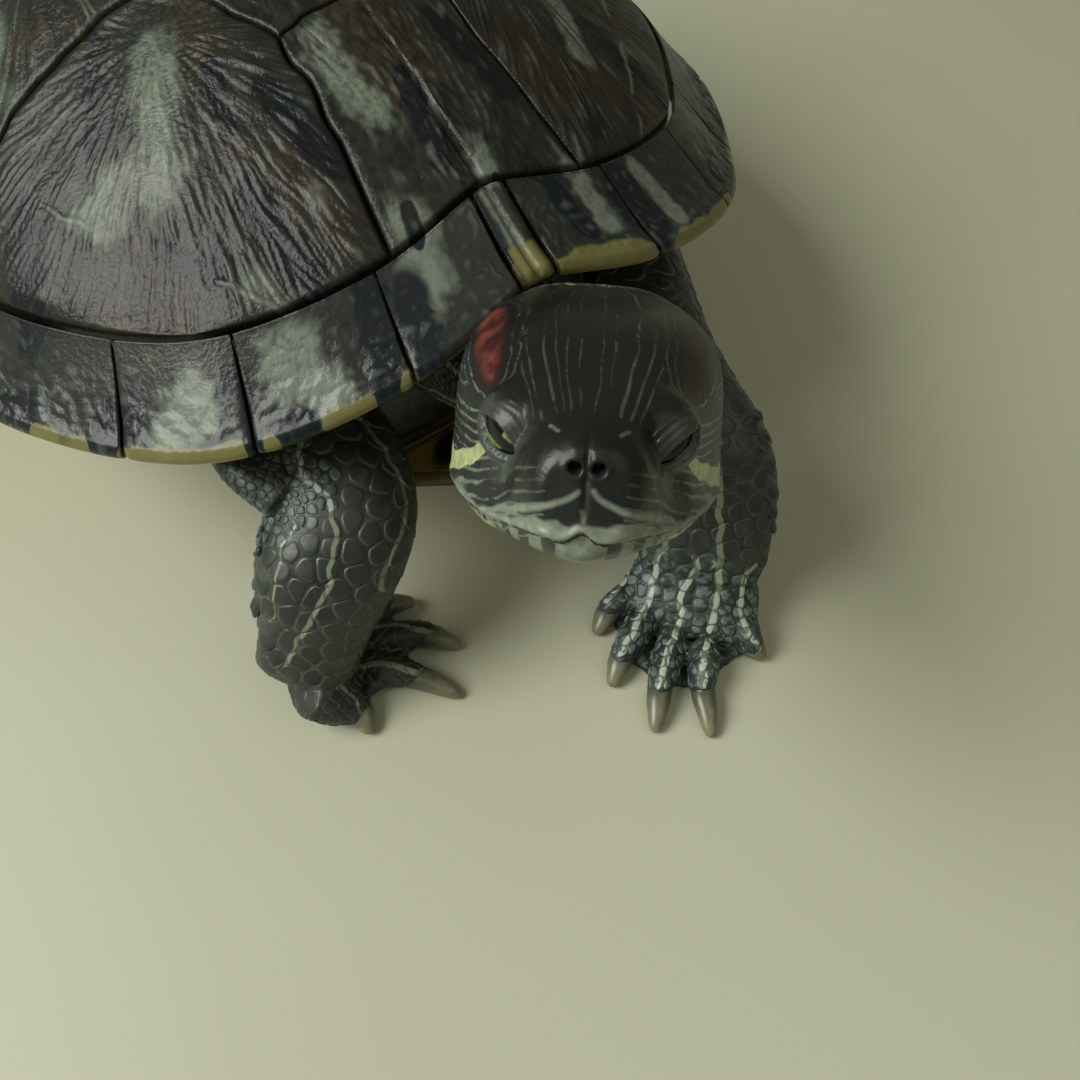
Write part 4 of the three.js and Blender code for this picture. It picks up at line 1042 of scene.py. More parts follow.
def sculpt_head(local):
    out = local.copy()
    x, y, z = local.T
    side = np.sign(x)
    # Full jowls and a chin that reaches almost as far forward as the beak.
    jowl = np.exp(-((z + 5.0) / 4.2) ** 2) * np.interp(-y, [7, 14, 20, 26, 32, 37, 41], [0, 0.35, 1.0, 2.5, 2.8, 1.8, 0])
    out[:, 0] += side * jowl * smooth(np.abs(x), 3, 8)
    chin = np.exp(-((z + 2.6) / 2.0) ** 2) * smooth(-y, 30, 38)
    out[:, 1] -= 1.5 * chin * np.exp(-(x / 5) ** 2)
    out[:, 0] += side * 0.9 * chin * smooth(np.abs(x), 2, 5)
    # A flat crown, a little hollow between the eyes, and a blunt snout.
    out[:, 2] -= 0.8 * np.exp(-(x / 4.5) ** 2) * np.exp(-((y + 29) / 6) ** 2) * smooth(z, 6, 10)
    out[:, 2] += 0.35 * np.exp(-((np.abs(x) - 5.5) / 2.5) ** 2) * smooth(-y, 8, 16) * (1 - smooth(-y, 22, 27)) * smooth(z, 7, 11)
    # Lids: soft rolls over the ball, open only along the slit.
    for s in (-1, 1):
        way, reach, cap, gap, b = slit_place(out, s)
        here = (side == s) * (1 - smooth(reach, 6.6, 9.8))
        fold = 0.06 * np.cos(np.clip(gap, 0, 60) / 9.5 * 2 * np.pi) * smooth(gap, 4, 9) * (1 - smooth(gap, 26, 42))
        fold = fold + 0.07 * noise(b / 12, gap / 7, 1) * smooth(gap, 3, 9)
        lip = 0.16 * np.exp(-((gap - 2.6) / 2.2) ** 2)
        radius = 4.9 + fold + lip - 1.5 * (1 - smooth(gap, -2.4, 0.6)) - 0.004 * np.clip(gap - 14, 0, 60)
        full = np.clip(0.5 + (reach - radius) / 1.6, 0, 1)
        merged = mix(radius, reach, full) + 0.8 * full * (1 - full)
        new_reach = mix(radius, merged, smooth(cap, 44, 66))
        new_reach = np.where(gap > 0.8, np.maximum(new_reach, 4.62), new_reach)
        amount = here * (1 - smooth(cap, 100, 125))
        out += way * ((new_reach - reach) * amount)[:, None]
        crease = np.exp(-((cap - 68) / 7.0) ** 2) * here * smooth(-y, 20, 26) * (reach > 5.0)
        out -= way * (0.16 * crease)[:, None]
    x, y, z = out.T
    # The beak over the jaw, and the line of the mouth.
    over = z - mouth_height(x, y)
    reach = smooth(-y, 15, 19)
    middle = np.column_stack([np.zeros_like(x), np.full_like(y, -22.0), np.zeros_like(z)])
    outward = out - middle
    outward[:, 2] = 0
    outward /= np.maximum(np.linalg.norm(outward, axis=1), 1e-6)[:, None]
    low = np.abs(z + 1.5) < 7
    lift = 0.38 * np.exp(-((over - 0.55) / 0.6) ** 2) - 0.55 * smooth(-over, 0.0, 0.5) * (1 - smooth(-over, 2.5, 6.0))
    lift = lift - 0.55 * np.exp(-(over / 0.24) ** 2)
    out += outward * (lift * reach * low)[:, None]
    # Nostrils, the groove between them, the small swellings over them.
    for s in (-1, 1):
        spot = np.hypot(out[:, 0] - s * 1.1, out[:, 2] - 6.9)
        hole = (1 - smooth(spot, 0.35, 0.72)) * smooth(-out[:, 1], 37, 38.5)
        brim = np.exp(-((spot - 0.95) / 0.3) ** 2) * smooth(-out[:, 1], 37, 38.5)
        swell = np.exp(-(np.hypot(out[:, 0] - s * 1.0, (out[:, 2] - 8.6) / 1.2) / 0.8) ** 2) * smooth(-out[:, 1], 35, 38)
        out[:, 1] += 1.5 * hole - 0.12 * brim - 0.3 * swell
    groove = np.exp(-(out[:, 0] / 0.3) ** 2) * smooth(out[:, 2], 1.5, 3) * (1 - smooth(out[:, 2], 9, 11))
    out[:, 1] += 0.3 * groove * smooth(-out[:, 1], 36, 39)
    # The ear: a faint round hollow behind the corner of the mouth.
    ear = np.hypot(y + 7, z - 1.5)
    out[:, 0] -= side * (0.5 * np.exp(-(ear / 3.2) ** 2) - 0.2 * np.exp(-((ear - 4.3) / 0.9) ** 2)) * (np.abs(x) > 8)
    return out


points = coords(skin) / MM
local = to_head(points)
is_head = (local[:, 1] < 9) & (np.abs(local[:, 0]) < 20) & (np.abs(local[:, 2] - 2) < 19)
shaped = from_head(sculpt_head(local[is_head]))
amount = 1 - smooth(local[is_head][:, 1], 0, 8)
points[is_head] += (shaped - points[is_head]) * amount[:, None]

# %% [markdown]
# The skin must stay clear of the shell above and the plates below, and the soles
# press flat on the floor.

# %% Keep the skin inside the shell and above the floor
shell_view = to_shell(points)
x, y, z = shell_view.T
share = plan_place(x, y)[1]
roof = dome(x, y) - 2.6 * 1.5 - 1.9
under_rim = (share < 0.985) & (to_head(points)[:, 1] > 6)
shell_view[:, 2] = np.where(under_rim, np.minimum(z, roof), z)
half = np.interp(y, *PLASTRON_OUTLINE.T)
base = 20 * (np.maximum(np.abs(x) - 48, 0) / 17.5) ** 1.5 + 3.6
on_plate = (np.abs(x) < half + 0.5) & (y > -88) & (y < 84.5) & under_rim
shell_view[:, 2] = np.where(on_plate, np.maximum(shell_view[:, 2], base), shell_view[:, 2])
moved = (shell_view - [0, RIM[0][1], RIM[0][2]]) @ SHELL_TURN.T + NUCHAL + SHIFT
points = np.where(under_rim[:, None], moved, points)
points[:, 2] = np.maximum(points[:, 2], 0.06)
set_coords(skin, points * MM)

# %% [markdown]
# Markings. A slider's skin is dark olive, drawn with fine pale lines that run down
# the limbs and the toes, over the crown and round the cheeks. Broader bands edge the
# beak, a yellow bar crosses the cheek and a red one lies behind each eye. Each kind is
# a distance to its own line on the skin, so that its edge stays sharp and skin and
# scales can share it.

# %% Lines on the skin
from mathutils.kdtree import KDTree

skin_points = coords(skin) / MM
tree_of_skin = KDTree(len(skin_points))
for index, point in enumerate(skin_points[::2].tolist()):
    tree_of_skin.insert(point, index)
tree_of_skin.balance()


def lay_line(stops, spacing=0.25, snap=True):
    stops = np.array(stops, float)
    fine = through(stops, np.linspace(0, len(stops) - 1, 60 * len(stops)))
    steps = np.r_[0, np.cumsum(np.linalg.norm(np.diff(fine, axis=0), axis=1))]
    even = np.linspace(0, steps[-1], max(int(steps[-1] / spacing), 2))
    line = np.stack([np.interp(even, steps, fine[:, k]) for k in range(3)], -1)
    if snap:
        snapped = np.array([tree_of_skin.find(tuple(p))[0] for p in line.tolist()])
        kernel = np.ones(7) / 7
        padded = np.pad(snapped, ((3, 3), (0, 0)), mode="edge")
        line = np.stack([np.convolve(padded[:, k], kernel, mode="valid") for k in range(3)], -1)
    return line


def nearest_on(points, lines):
    cloud = np.vstack([line for line, _ in lines])
    widths = np.concatenate([np.broadcast_to(w, len(line)) for line, w in lines])
    tree = KDTree(len(cloud))
    for index, point in enumerate(cloud.tolist()):
        tree.insert(point, index)
    tree.balance()
    index = np.array([tree.find(point)[1] for point in points.tolist()])
    return cloud[index], widths[index], index


def distance_to(points, lines):
    spot, width, _ = nearest_on(points, lines)
    return np.linalg.norm(points - spot, axis=1) - width


def side_of(points, ups, lines):
    """How far each point lies to one side of the nearest line, and how far in all."""
    spot, width, index = nearest_on(points, lines)
    ways = np.vstack([np.gradient(line, axis=0) for line, _ in lines])[index]
    aside = np.cross(ways, ups)
    aside /= np.maximum(np.linalg.norm(aside, axis=1), 1e-6)[:, None]
    away = points - spot
    return (away * aside).sum(1) / width, np.linalg.norm(away, axis=1)


def both_sides(stops):
    stops = np.array(stops, float)
    return [from_head(stops), from_head(stops * [-1, 1, 1])]


def on_body(stops):
    return np.array(stops, float) + SHIFT


limb_lines = []
for stops, wide in (
        ([(-33, -70, 41), (-36.8, -76.5, 39.3), (-36.5, -80, 38.3), (-38.1, -83.4, 35.9), (-41.4, -86.7, 31.7),
          (-44.3, -87.9, 28.2), (-48, -87.5, 23.6), (-51.3, -86.6, 18.1), (-53.3, -85.5, 14.3)], 0.34),
        ([(-25, -74, 40.5), (-25.2, -79.8, 39.4), (-25.6, -83.5, 37.1), (-27.1, -86.9, 34.5),
          (-30.2, -89.3, 32.4), (-34.8, -91, 29.8), (-37.5, -91.8, 27.1)], 0.4),
        ([(-42.8, -78.9, 34.4), (-46.1, -80.1, 31.2), (-48.9, -81.6, 27.6), (-51, -82.9, 22.9)], 0.2),
        ([(-36, -84.5, 6.5), (-33.1, -87.2, 5.9), (-29.7, -91.2, 4.9), (-27.5, -94, 4.2)], 0.45),
        ([(-44.5, -90.2, 9), (-40.6, -90.7, 5.8), (-38.1, -93.1, 5.9), (-35.6, -96.5, 4.6), (-33.5, -100, 4)], 0.5),
        ([(-47.3, -91.8, 9.8), (-46.7, -93.9, 6.1), (-46.9, -96, 4.6)], 0.3),
        ([(16.8, -110.5, 34), (15.9, -114, 28.5), (14.1, -117, 22.1), (12.1, -120.1, 15.6), (11.5, -121.3, 11.1),
          (8.1, -124.1, 7), (1.3, -127.9, 5.8), (-2.6, -131.4, 4.4)], 0.5),
        ([(12, -116, 14), (6.6, -118.4, 8.6), (2.5, -120.9, 5.6), (-3.2, -123.5, 5.8), (-7.6, -126.2, 4.6)], 0.5),
        ([(9, -111.5, 17), (6.8, -111.6, 12), (2.1, -114.3, 6.4), (-7.6, -117.5, 4.6)], 0.5),
        ([(8, -108, 11), (5.6, -107.6, 7.2), (-1.8, -109, 5.2)], 0.5),
        ([(17, -122, 13), (12.7, -125.8, 8.1), (10.6, -130.1, 5.3), (10.6, -132.6, 3.6)], 0.45)):
    limb_lines.append((lay_line(on_body(stops)), wide))
for name in ("hind_left", "hind_right"):
    limb = LIMBS[name]
    ankle = np.array(limb["palm"][0], float)[:3]
    for toe in limb["toes"]:
        root, knuckle, _ = (np.array(p, float) for p in toe)
        limb_lines.append((lay_line(on_body([ankle + [0, 0, 5], [*root, 6], [*knuckle, 4.6]])), 0.42))
    spine = np.array(limb["leg"], float)[:, :3]
    for offset in ((0, 0, 11), (0, -10, 4), (0, 11, 3)):
        limb_lines.append((lay_line(on_body(spine[1:] + offset)), 0.4))
for offset in ((0, 0, 8), (6, 0, 2), (-6, 0, 2)):
    limb_lines.append((lay_line(on_body(TAIL[:, :3] + offset)), 0.35))
neck_spine = np.array(NECK_KEYS)[:, :3]
for angle in (-150, -120, -60, -30, 15, 45, 75, 105, 135, 165, 195):
    offset = np.array([math.cos(math.radians(angle)), 0.25, math.sin(math.radians(angle))]) * 11
    limb_lines.append((lay_line(on_body(neck_spine + offset)), 0.35 if angle > 0 else 0.5))
print("lines on limbs, neck and tail:", len(limb_lines))

head_pale = []
for stops, wide in (
        ([(-0.55, -41.3, 5.0), (-1.5, -41.2, 4.1), (-3.2, -41.0, 3.3), (-5, -40.2, 2.4), (-6.9, -37.5, 1.0),
          (-8.6, -33.6, -1.2), (-10.8, -29, -2.8)], np.interp(np.linspace(0, 1, 100), [0, 0.3, 1], [0.16, 0.3, 0.42])),
        ([(-4, -36.4, 9.3), (-3.4, -37.2, 9.4), (-2.7, -37.9, 9.3)], 0.06)):
    for line_stops in both_sides(stops):
        line = lay_line(line_stops)
        width = wide if np.isscalar(wide) else np.interp(np.linspace(0, 1, len(line)), np.linspace(0, 1, 100), wide)
        head_pale.append((line, width))
head_pale.append((lay_line(from_head([(0, -41.4, 1.2), (0, -41.4, 2.2), (0, -41.4, 3.2)])), 0.12))
yellow_bars = []
red_bars = []
for stops in both_sides([(-10.5, -28.9, 3.3), (-11.6, -26, 1.4), (-12.7, -23.2, -0.4), (-14.2, -18.8, -2.4), (-15.0, -15.8, -3.1)]):
    line = lay_line(stops)
    yellow_bars.append((line, np.interp(np.linspace(0, 1, len(line)), [0, 0.15, 0.5, 1], [0.35, 0.8, 0.95, 1.3])))
for stops in both_sides([(-8.6, -33.4, -3.2), (-11.4, -28.2, -4.6), (-13.2, -23, -5.6)]):
    line = lay_line(stops)
    yellow_bars.append((line, np.interp(np.linspace(0, 1, len(line)), [0, 0.3, 0.6, 1], [0.1, 0.45, 0.2, 0.6])))
for stops in both_sides([(-9.6, -24.8, 9.0), (-10.5, -20, 10.2), (-10.6, -13, 10.6), (-10.7, -10.5, 10.5), (-10.6, -8.3, 10.3)]):
    line = lay_line(stops)
    red_bars.append((line, np.interp(np.linspace(0, 1, len(line)), [0, 0.1, 0.5, 0.85, 1], [1.0, 1.8, 2.5, 2.3, 1.2])))


def comb(value, spacing, wide):
    return np.abs((value / spacing + 0.5) % 1 - 0.5) * spacing - wide


def follow(stops):
    stops = np.array(stops, float)
    return through(stops, np.linspace(0, len(stops) - 1, 400))


SNOUT_RUN = follow([(3.0, -40.8, 5.9), (5.7, -39, 4.7), (7.8, -35.5, 3), (9.6, -31.1, -0.3),
                    (12.0, -26, -2.6), (14.8, -18, -5), (16, -6, -6.5)])
CHEEK_RUN = follow([(9.6, -27, 7.8), (10.9, -24.7, 6.7), (13.0, -20.8, 5.9), (14.9, -11.4, 4.6), (15.2, 4, 3.5)])
CROWN = [(-1, 1.5, 0.06), (-1, 2.9, 0.07), (-1, 4.0, 0.05), (-1, 5.2, 0.10), (-1, 6.9, 0.08), (-1, 7.7, 0.05),
         (1, 0.9, 0.05), (1, 2.2, 0.06), (1, 4.45, 0.14), (1, 6.1, 0.12), (1, 7.4, 0.06)]


def head_marks(points):
    local = to_head(points)
    x, y, z = local.T
    a = np.abs(x)
    half = np.interp(-y, [-8, 2, 11, 19, 25, 31, 37, 41.4], [12.4, 14.7, 15.8, 14.6, 12.2, 10, 7.4, 4])
    spread = np.interp(-y, [0, 8, 14, 24, 30, 36], [0.85, 1.05, 1.08, 1.0, 0.8, 0.62])
    wave = 0.3 * noise(x / 2.5, y / 6, 1)
    lines = np.full(len(points), 9.0)
    for s, spot, wide in CROWN:
        away = np.abs(a - spot * spread + wave) - wide
        lines = np.where(np.sign(x) == s, np.minimum(lines, away), lines)
    lines = lines + 0.12 * smooth(noise(x, y / 6, 3), 0.0, 0.5) + 3 * smooth(-y, 35, 38)
    lines = np.where(z > 7.2 - 0.12 * (y + 20), lines, 9.0)
    # Lines that run back under the eye from the snout, and others behind the eye.
    seen = np.column_stack([a, y, z])
    nearest_run = [distance_to(seen, [(run, 0.0)]) for run in (SNOUT_RUN, CHEEK_RUN)]
    ragged = 0.22 * noise(a / 3 + y / 4, z / 3, 2)
    wide = 0.12 + 0.09 * noise(y / 3, z / 3, 4)
    bar = np.interp(-y, [5, 15.5, 18.5, 23.2, 26, 29.2], [-5, -3.1, -2.6, -0.4, 1.4, 3.1])
    behind = (z > bar + 0.4) & (y > -28.5)
    snout_lines = comb(nearest_run[0] + ragged, 1.12, wide)
    cheek_lines = comb(nearest_run[1] + ragged, 1.05, wide)
    cheeks = np.where(behind, cheek_lines, snout_lines)
    top = np.where(behind, 8.0 + 0.05 * (y + 20), 6.6 - 0.3 * (y + 40))
    cheeks = np.where((z < top) & (y < 6), cheeks, 9.0)
    cheeks = cheeks + 3 * (1 - smooth(a, 2.6, 3.8)) * (y < -36)
    fine = np.minimum(lines, cheeks)
    over = z - mouth_height(x, y)
    # Pale edge of the beak, in two lobes in front.
    edge = np.interp(a, [0, 0.8, 2.5, 4.5, 7, 12], [0.7, 1.3, 1.9, 1.9, 1.0, 0.6])
    beak = np.where(over > 0, over - edge, 9.0) + 0.25 * noise(x / 1.2, z, 5)
    beak = np.where(y < -19, beak, 9.0)
    # The jaw with a pale block in the middle and paler bars fanning out from it.
    fan = np.degrees(np.arctan2(x, -(y + 25)))
    bars = (np.abs((fan / 11.5) % 1 - 0.5) - 0.5 * 0.52) * 2.2 * 2
    block = (np.abs(fan) - 6.0) * 0.26
    far_block = (np.abs(np.abs(fan) - 50) - 5) * 0.26
    jaw = np.where((over < -0.15) & (over > -9) & (y < 6), np.minimum(np.minimum(bars, block), far_block), 9.0)
    return fine, beak, jaw, over


def markings(points):
    local = to_head(points)
    on_head = (local[:, 1] < 7) & (np.abs(local[:, 0]) < 20) & (np.abs(local[:, 2] - 2) < 19)
    count = len(points)
    out = {key: np.full(count, 9.0) for key in ("line", "broad", "yellow", "red", "jaw", "lid")}
    out["tone"] = np.zeros(count)
    out["headed"] = 1 - smooth(local[:, 1], 3, 9)
    out["headed"][~on_head] = 0
    if on_head.any():
        there = points[on_head]
        fine, beak, jaw, over = head_marks(there)
        out["line"][on_head] = fine
        out["broad"][on_head] = np.minimum(distance_to(there, head_pale), beak)
        seen = local[on_head]
        rough_edge = 0.38 * noise(seen[:, 1] / 3.0, seen[:, 2] / 2.4, 3) + 0.05 * noise(seen[:, 1] / 0.8, seen[:, 2] / 0.8, 1)
        out["yellow"][on_head] = distance_to(there, yellow_bars) + rough_edge
        from_red = distance_to(there, red_bars)
        out["red"][on_head] = from_red + 0.7 * rough_edge
        rings = np.minimum(np.abs(from_red - 1.0), np.abs(from_red - 2.1)) - 0.1 + 0.1 * noise(seen[:, 1] / 3, seen[:, 2] / 3, 2)
        rings = np.where((seen[:, 2] > 7) & (from_red > 0.4), rings, 9.0)
        out["line"][on_head] = np.minimum(np.where(from_red < 2.6, 9.0, fine), rings)
        out["jaw"][on_head] = jaw
        spot = local[on_head]
        lids = np.full(on_head.sum(), 90.0)
        for s in (-1, 1):
            _, reach, cap, gap, _ = slit_place(spot, s)
            lids = np.where((cap < 62) & (reach < 7) & (np.sign(spot[:, 0]) == s), gap, lids)
        out["lid"][on_head] = lids
        out["line"][on_head] += 2 * (1 - smooth(lids, 22, 30))
        down = 1 - smooth(spot[:, 2], -6, 10)
        out["tone"][on_head] = np.clip(0.25 + 0.6 * down + 0.5 * (over < 0), 0, 1.2) * smooth(-spot[:, 1], 2, 26)
        cheek = smooth(np.abs(spot[:, 0]), 8.5, 11) * (1 - smooth(spot[:, 2], 8, 11)) * smooth(-spot[:, 1], -2, 12)
        out["bright"] = np.zeros(count)
        crown = 0.36 * smooth(-spot[:, 1], -6, 6) * smooth(spot[:, 2], 8, 10)
        out["bright"][on_head] = np.maximum(out["tone"][on_head], np.maximum(0.85 * cheek, crown))
        # The head's left side is marked so that its red bar can be painted darker as painted shade, since that side is
        # turned from the light.
        out["left"] = np.zeros(count)
        out["left"][on_head] = (spot[:, 0] > 0)
    rest = ~on_head
    if rest.any():
        out["line"][rest] = distance_to(points[rest], limb_lines)
    return out


marks = markings(skin_points)
for key, values in marks.items():
    add_attribute(skin, key, values)
print("markings on the skin:", ", ".join(marks))
# %% [markdown]
# Wet reptile skin: dark olive with a soft shine, finely pebbled, paler where the
# lines run. The lids are greyer and drier, the beak and jaw are smooth horn.

# %% Skin material
def make_skin():
    material, tree = new_material("skin_olive_wet")
    small = object_noise(tree, 900, 4)
    broad = object_noise(tree, 120, 3)
    headed = (attribute(tree, "headed"), 2)
    limb = blend_colours(tree, fade(tree, broad, 0.35, 0.65), "1b1f1c", "2b302b")
    head = blend_colours(tree, fade(tree, value(attribute(tree, "tone")), 0.0, 1.0), "0f110e", "2f3530")
    colour = blend_colours(tree, headed, limb, head)
    streak = fade(tree, broad, 0.35, 0.65)
    lid = blend_colours(tree, streak, "33382f", "565c57")
    colour = blend_colours(tree, fade(tree, value(attribute(tree, "lid")), 16, 40, 0.75, 0), colour, lid)
    colour = blend_colours(tree, fade(tree, value(attribute(tree, "jaw")), 0.2, -0.25, 0, 0.85), colour, "858c7b")
    pale = blend_colours(tree, fade(tree, value(attribute(tree, "bright")), 0.1, 0.8), "343a30", "808a7a")
    pale = blend_colours(tree, headed, "7f8470", pale)
    colour = blend_colours(tree, fade(tree, value(attribute(tree, "line")), 0.12, -0.08, 0, 0.8), colour, pale)
    colour = blend_colours(tree, fade(tree, value(attribute(tree, "broad")), 0.3, -0.2, 0, 0.85), colour, "8f9787")
    colour = blend_colours(tree, fade(tree, value(attribute(tree, "yellow")), 0.15, -0.1), colour, "b5bd88")
    red = blend_colours(tree, fade(tree, object_noise(tree, 330, 3), 0.38, 0.62), "3f1b17", "7a3a30")
    red = blend_colours(tree, fade(tree, value(attribute(tree, "red")), -1.6, 0.1), red, "2c1411")
    # Painted shade: the red bar on the left side is painted a dull dark brown, as it lies away from the light.
    red = blend_colours(tree, value(attribute(tree, "left")), red, "2b1e19")
    colour = blend_colours(tree, fade(tree, value(attribute(tree, "red")), 0.4, -0.3), colour, red)
    colour = blend_colours(tree, fade(tree, small, 0.3, 0.7, 0, 0.35), colour, "0f100c")
    rough = fade(tree, broad, 0.3, 0.7, 0.34, 0.5)
    finish_surface(tree, colour, rough, small, 0.45, 0.00014, 0.14, 0.14, 0.3)
    return material


SKIN = make_skin()
finish_piece(skin, "skin", SKIN, ["trunk", "neck", "head", "lower_jaw", "tail"]
             + [f"{part}_{name}" for part in ("leg", "foot") for name in LIMBS])
# %% [markdown]
# Scales. The legs, the tail and the neck are covered with flat horny scales, large
# on the forearms and small on the toes and the neck. Roots are scattered over the
# skin, each root takes the ground nearest to it, and a low domed scale with a rounded
# outline fills that ground but for a thin crease. The far edge of a scale stands up a
# little over the next. Down the outer edge of each forearm they form a row of teeth.

# %% Where the scales grow
from mathutils.bvhtree import BVHTree

SPINES = []      # place, way, size of scale, height, limb number, share of the length


def add_spine(keys, size, height, limb_number, start, end):
    keys = np.array(keys, float)[:, :3] + SHIFT
    line = through(keys, np.linspace(0, len(keys) - 1, 12 * len(keys)))
    way = np.gradient(line, axis=0)
    way /= np.linalg.norm(way, axis=1)[:, None]
    for k, (at, toward) in enumerate(zip(line, way)):
        t = k / (len(line) - 1)
        SPINES.append((*at, *toward, mix(*size, t), mix(*height, t), limb_number, mix(start, end, t)))


LIMB_NAMES = list(LIMBS) + ["neck", "tail"]
for number, name in enumerate(LIMBS):
    limb = LIMBS[name]
    front_limb = name.startswith("front")
    add_spine(limb["leg"], (3.4, 3.1) if front_limb else (2.2, 2.6), (0.12, 0.17), number, 0.0, 0.6)
    add_spine(limb["palm"], (2.5, 2.0), (0.15, 0.14), number, 0.6, 0.75)
    if "fold" in limb:
        add_spine(limb["fold"], (1.5, 1.3), (0.1, 0.1), number, 0.05, 0.3)
    for toe in limb["toes"]:
        keys = [[*root, 3.0] for root in np.array(toe, float)[:2]]
        add_spine(keys, (1.9, 1.7), (0.16, 0.15), number, 0.75, 1.0)
add_spine(NECK_KEYS, (1.3, 1.1), (0.08, 0.06), 4, 0.0, 1.0)
add_spine(TAIL, (2.0, 1.5), (0.15, 0.13), 5, 0.0, 1.0)
SPINES = np.array(SPINES)
spine_tree = KDTree(len(SPINES))
for index, point in enumerate(SPINES[:, :3].tolist()):
    spine_tree.insert(point, index)
spine_tree.balance()

skin_points = coords(skin) / MM
skin_normals = normals(skin)
faces = [tuple(face.vertices) for face in skin.data.polygons]
skin_surface = BVHTree.FromPolygons(skin_points.tolist(), faces)
centres = np.empty(len(faces) * 3)
skin.data.polygons.foreach_get("center", centres)
centres = centres.reshape(-1, 3) / MM
facing = np.empty(len(faces) * 3)
skin.data.polygons.foreach_get("normal", facing)
facing = facing.reshape(-1, 3)
shell_view = to_shell(centres)
share = plan_place(shell_view[:, 0], shell_view[:, 1])[1]
local = to_head(centres)
free = (local[:, 1] > 5.5) | (np.abs(local[:, 0]) > 18) | (np.abs(local[:, 2]) > 20)
grows = free & (share > 0.8) & ((centres[:, 2] > 1.3) | (facing[:, 2] > 0.2))
candidates = centres[grows]
candidate_normals = facing[grows]
nearest_spine = np.array([spine_tree.find(point)[1] for point in candidates.tolist()])
sizes = SPINES[nearest_spine, 6]

candidate_tree = KDTree(len(candidates))
for index, point in enumerate(candidates.tolist()):
    candidate_tree.insert(point, index)
candidate_tree.balance()
order = np.random.default_rng(7).permutation(len(candidates))
still_free = np.ones(len(candidates), dtype=bool)
roots = []
for index in order.tolist():
    if still_free[index]:
        roots.append(index)
        for _, other, _ in candidate_tree.find_range(candidates[index], sizes[index] * 0.9):
            still_free[other] = False
roots = np.array(roots)
print("scale roots:", len(roots))


# %% Cut the outline of each scale
CORNERS = 12


def cut_outline(neighbours, reach):
    corners = [(reach * math.cos(k * math.pi / 4), reach * math.sin(k * math.pi / 4)) for k in range(8)]
    for mx, my in neighbours:
        limit = (mx * mx + my * my) / 2
        kept = []
        for (ax, ay), (bx, by) in zip(corners, corners[1:] + corners[:1]):
            a = ax * mx + ay * my - limit
            b = bx * mx + by * my - limit
            if a <= 0:
                kept.append((ax, ay))
            if (a < 0 < b) or (b < 0 < a):
                t = a / (a - b)
                kept.append((ax + (bx - ax) * t, ay + (by - ay) * t))
        corners = kept
        if len(corners) < 3:
            return None
    corners = np.array(corners)
    following = np.roll(corners, -1, axis=0)
    rounded = np.stack([corners * 0.88 + following * 0.12, corners * 0.12 + following * 0.88], 1).reshape(-1, 2)
    closed = np.vstack([rounded, rounded[:1]])
    steps = np.r_[0, np.cumsum(np.hypot(*np.diff(closed, axis=0).T))]
    even = np.arange(CORNERS) / CORNERS * steps[-1]
    return np.stack([np.interp(even, steps, closed[:, k]) for k in (0, 1)], -1)


root_points = candidates[roots]
root_normals = candidate_normals[roots]
root_spines = SPINES[nearest_spine[roots]]
lie = root_spines[:, 3:6] - root_normals * (root_spines[:, 3:6] * root_normals).sum(1)[:, None]
lie /= np.maximum(np.linalg.norm(lie, axis=1), 1e-6)[:, None]
beside = np.cross(root_normals, lie)
root_tree = KDTree(len(root_points))
for index, point in enumerate(root_points.tolist()):
    root_tree.insert(point, index)
root_tree.balance()
outlines = np.zeros((len(roots), CORNERS, 2))
has_outline = np.zeros(len(roots), dtype=bool)
for index, point in enumerate(root_points):
    size = root_spines[index, 6]
    found = [other for _, other, _ in root_tree.find_range(point, size * 2.4)
             if other != index and root_normals[other] @ root_normals[index] > 0.1]
    away = root_points[found] - point
    flat_ways = np.column_stack([away @ lie[index], away @ beside[index]])
    outline_of_scale = cut_outline(flat_ways.tolist(), size * 1.1)
    if outline_of_scale is not None:
        outlines[index] = outline_of_scale
        has_outline[index] = True
print("scales with an outline:", int(has_outline.sum()))

# %% Raise the scales
TEETH = [lay_line(on_body(stops)) for stops in (
    [(26.5, -108, 34), (25.8, -114.8, 31.2), (24.1, -118.1, 27.8), (23, -120.7, 23.2), (21.9, -122.9, 17.8),
     (20.4, -123.6, 13.5)],
    [(-44.9, -73.8, 31.3), (-47.9, -76, 28.5), (-49.5, -77.2, 26.4), (-50.9, -78.1, 22.9), (-52.3, -80.5, 19.9),
     (-53.4, -83.7, 15.9)])]
tooth = np.clip(-distance_to(root_points, [(line, 2.0) for line in TEETH]) / 1.2, 0, 1)
random_tone = np.random.default_rng(3).random(len(roots))


